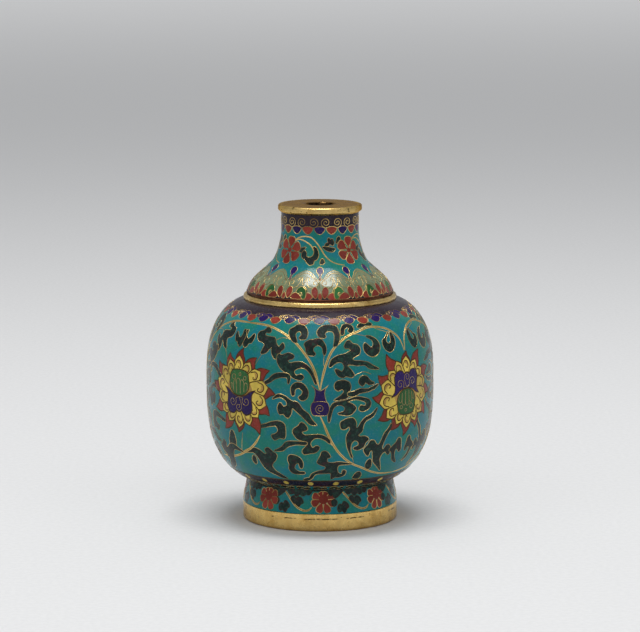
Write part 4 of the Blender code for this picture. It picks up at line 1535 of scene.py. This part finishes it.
class SNUFF_OT_neck_enamel(bpy.types.Operator):
    """Makes the enamel of the neck and the dome"""

    bl_idname = "snuff.neck_enamel"
    bl_label = "Neck enamel"

    def execute(self, context):
        lay_skins("neck")
        return {"FINISHED"}


class SNUFF_OT_body_enamel(bpy.types.Operator):
    """Makes the enamel of the collar, the body and the bands under it"""

    bl_idname = "snuff.body_enamel"
    bl_label = "Body enamel"

    def execute(self, context):
        lay_skins("body")
        return {"FINISHED"}


class SNUFF_OT_foot_enamel(bpy.types.Operator):
    """Makes the enamel of the foot"""

    bl_idname = "snuff.foot_enamel"
    bl_label = "Foot enamel"

    def execute(self, context):
        lay_skins("foot")
        return {"FINISHED"}


class SNUFF_OT_wires(bpy.types.Operator):
    """Lays the gilt wires between the cells"""

    bl_idname = "snuff.wires"
    bl_label = "Wires"

    def execute(self, context):
        sizes = context.scene.enamel_sizes
        pieces = (
            ("neck_wires", "neck", ("scroll", "crown"), "gilt_wire", sizes.neck_wire, 1),
            ("neck_stems", "neck", ("stem",), "gilt_stem", sizes.neck_stem, 2),
            ("scroll_stems", "body", ("stem",), "gilt_stem", sizes.body_stem, 2),
            ("scroll_wires", "body", ("scroll",), "gilt_wire", sizes.body_wire, 1),
            ("crown_wires", "body", ("crown",), "crown_wire", sizes.body_wire, 1),
            # The blossom and foot leaf wires take a gold darkened as painted shade
            ("blossom_wires", "body", ("blossom",), "worn_wire", sizes.petal_wire, 2),
            ("foot_wires", "foot", ("scroll", "stem"), "gilt_wire", sizes.body_wire, 2),
            ("foot_leaf_wires", "foot", ("leaf",), "worn_wire", sizes.body_wire, 1),
        )
        for name, part, kinds, finish, width, finer in pieces:
            sides = sizes.wire_sides * finer
            lift = (sizes.wire_proud - width / 2) / MM
            made = wire_piece(name, pattern_of(part), kinds, gilding(finish), lift, width, sides)
            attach(made, "root")
        return {"FINISHED"}


class SNUFF_OT_mouth(bpy.types.Operator):
    """Makes the gilt lip plate with its hole"""

    bl_idname = "snuff.mouth"
    bl_label = "Mouth"

    def execute(self, context):
        section = section_of("mouth_rim")
        low, high = box_mm("mouth_rim")
        bore = section[:, 0].min()
        under = section[section[:, 1] < low[2] + 0.01][:, 0].max()
        corners = [
            (bore, high[2]),
            (high[0], high[2]),
            (high[0], low[2] + LIP_UNDERCUT),
            (under, low[2]),
            (bore, low[2]),
        ]
        profile = divided(filleted(corners, LIP_ROUNDING))
        gilt_ring("mouth_rim", profile, "gilt_lip", dents=1, scale=0.8)
        return {"FINISHED"}


class SNUFF_OT_rings(bpy.types.Operator):
    """Makes the shoulder rib and the flat wires round the bands"""

    bl_idname = "snuff.rings"
    bl_label = "Rib and band wires"

    def execute(self, context):
        low, high = box_mm("shoulder_rib")
        inner = section_of("shoulder_rib")[:, 0].min()
        bottom = low[2] - RIB_FOOT
        middle = (bottom + high[2]) / 2
        half = (high[2] - bottom) / 2
        seat = inner + RIB_SEAT
        profile = [(inner, high[2])]
        for i in range(RIB_STEPS + 1):
            turn = math.pi * i / RIB_STEPS
            bulge = math.sin(turn) ** (0.25 if i > RIB_STEPS / 2 else 1)
            profile.append((seat + (high[0] - seat) * bulge, middle + half * math.cos(turn)))
        profile.append((inner, bottom))
        gilt_ring("shoulder_rib", profile, "gilt_rim", dents=1.6, scale=0.9)
        for name, finish in BAND_WIRES.items():
            section = section_of(name)
            centre = section.mean(axis=0)
            order = np.argsort([math.atan2(z - centre[1], r - centre[0]) for r, z in section])
            corners = [tuple(section[i]) for i in order]
            profile = filleted(corners, [FLAT_WIRE_ROUNDING] * len(corners), 2)
            gilt_ring(name, profile, finish, dents=0.3, scale=1.0)
        return {"FINISHED"}


class SNUFF_OT_foot_rim(bpy.types.Operator):
    """Makes the tall gilt rim of the foot"""

    bl_idname = "snuff.foot_rim"
    bl_label = "Foot rim"

    def execute(self, context):
        low, high = box_mm("foot_rim")
        bore = section_of("foot_rim")[:, 0].min()
        corners = [(bore, high[2]), (high[0], high[2]), (high[0], low[2]), (bore, low[2])]
        profile = divided(filleted(corners, FOOT_ROUNDING))
        gilt_ring("foot_rim", profile, "gilt_foot", dents=1, scale=0.7)
        return {"FINISHED"}


class SNUFF_OT_inner_metal(bpy.types.Operator):
    """Finishes the copper cores, the sleeve and the base plate"""

    bl_idname = "snuff.inner_metal"
    bl_label = "Inner metal"

    def execute(self, context):
        copper = bare_copper("old_copper", tuple(context.scene.metal_finish.copper))
        finishes = {name: copper for name in ("neck_core", "body_core", "foot_core")}
        finishes["mouth_sleeve"] = bare_copper("dark_copper", DARK_COPPER)
        finishes["base_plate"] = gilding("gilt_rim")
        for name, finish in finishes.items():
            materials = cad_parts[name].data.materials
            materials.clear()
            materials.append(finish)
        return {"FINISHED"}


class SNUFF_OT_stage(bpy.types.Operator):
    """Makes the pale floor, the soft lights and the camera"""

    bl_idname = "snuff.stage"
    bl_label = "Stage"

    def execute(self, context):
        scene = context.scene
        scene.view_settings.view_transform = "Standard"
        floor()
        lamp("Overhead", (0, 0.15, 0.8), (0.6, 0.4), 0.9)
        lamp("Dome", (0, -0.06, 0.8), (0.42, 0.2), 3.6)
        lamp("Haze", (0, -0.5, 0.72), (0.5, 0.4), 0.9)
        for side in (-1, 1):
            lamp("Front", (side * 1.0, -1.05, 0.85), (1.7, 1.6), 3.8)
            lamp("Side", (side * 0.62, 0.6, 0.35), (0.22, 0.7), 0.14)
        scene.world = bpy.data.worlds.new("Studio")
        scene.world.use_nodes = True
        background = scene.world.node_tree.nodes["Background"]
        background.inputs["Color"].default_value = ROOM_COLOUR
        background.inputs["Strength"].default_value = ROOM_STRENGTH
        data = bpy.data.cameras.new("Camera")
        data.lens = CAMERA_LENS
        data.clip_start = 0.01
        camera = bpy.data.objects.new("Camera", data)
        camera.location = CAMERA_PLACE
        camera.rotation_euler = (math.radians(90 - CAMERA_PITCH), 0, 0)
        scene.collection.objects.link(camera)
        scene.camera = camera
        return {"FINISHED"}


def floor():
    """A pale round sheet of paper, wide enough to fill the picture, that stays pale far away."""
    mesh = bmesh.new()
    bmesh.ops.create_circle(mesh, cap_ends=True, radius=FLOOR_RADIUS, segments=96)
    paper = Finish("pale_paper")
    away, _, _ = paper.around_axis()
    path = paper.node("LightPath").outputs
    seen = paper.maths("MAXIMUM", path["Is Camera Ray"], path["Is Glossy Ray"])
    seen = paper.maths("MAXIMUM", seen, path["Is Transmission Ray"])
    fibres = paper.ramp(paper.noise(900.0), 0.3, 0.7)
    inputs = {
        "Base Color": paper.mix(fibres, (0.66,) * 3, (0.69,) * 3),
        "Roughness": 0.9,
        "Specular IOR Level": 0.2,
        "Emission Color": (1, 1, 1, 1),
        "Emission Strength": paper.times(paper.ramp(away, 0.3, 2.5, 0.0, 0.3), seen),
    }
    new_object("floor", mesh, [paper.done(inputs)])


def lamp(name, place, size, power):
    """A soft box that faces the bottle: its place and size in metres, and its power in watts."""
    data = bpy.data.lights.new(name, "AREA")
    data.shape = "RECTANGLE"
    data.size, data.size_y = size
    data.energy = power
    made = bpy.data.objects.new(name, data)
    made.location = place
    aim = Vector(LAMP_AIM) - Vector(place)
    made.rotation_euler = aim.to_track_quat("-Z", "Y").to_euler()
    bpy.context.scene.collection.objects.link(made)


class SNUFF_PT_bottle(bpy.types.Panel):
    """Lists the sizes, the colours and the pieces"""

    bl_idname = "SNUFF_PT_bottle"
    bl_label = "Snuff bottle"
    bl_space_type = "VIEW_3D"
    bl_region_type = "UI"
    bl_category = "Bottle"

    def draw(self, context):
        for group, _ in GROUPS:
            sizes = getattr(context.scene, group)
            box = self.layout.box()
            for name in sizes.__annotations__:
                box.prop(sizes, name)
        for operator in OPERATORS:
            self.layout.operator(operator.bl_idname)


GROUPS = (
    ("enamel_sizes", EnamelSizes),
    ("enamel_colours", EnamelColours),
    ("metal_finish", MetalFinish),
)
OPERATORS = (
    SNUFF_OT_neck_enamel,
    SNUFF_OT_body_enamel,
    SNUFF_OT_foot_enamel,
    SNUFF_OT_wires,
    SNUFF_OT_mouth,
    SNUFF_OT_rings,
    SNUFF_OT_foot_rim,
    SNUFF_OT_inner_metal,
    SNUFF_OT_stage,
)


def register():
    for name, group in GROUPS:
        bpy.utils.register_class(group)
        setattr(bpy.types.Scene, name, PointerProperty(type=group))
    for made in (*OPERATORS, SNUFF_PT_bottle):
        bpy.utils.register_class(made)


def unregister():
    for made in reversed((*OPERATORS, SNUFF_PT_bottle)):
        bpy.utils.unregister_class(made)
    for name, group in reversed(GROUPS):
        delattr(bpy.types.Scene, name)
        bpy.utils.unregister_class(group)


def main():
    register()
    bpy.ops.snuff.neck_enamel()
    bpy.ops.snuff.body_enamel()
    bpy.ops.snuff.foot_enamel()
    bpy.ops.snuff.wires()
    bpy.ops.snuff.mouth()
    bpy.ops.snuff.rings()
    bpy.ops.snuff.foot_rim()
    bpy.ops.snuff.inner_metal()
    bpy.ops.snuff.stage()


if __name__ == "__main__":
    main()
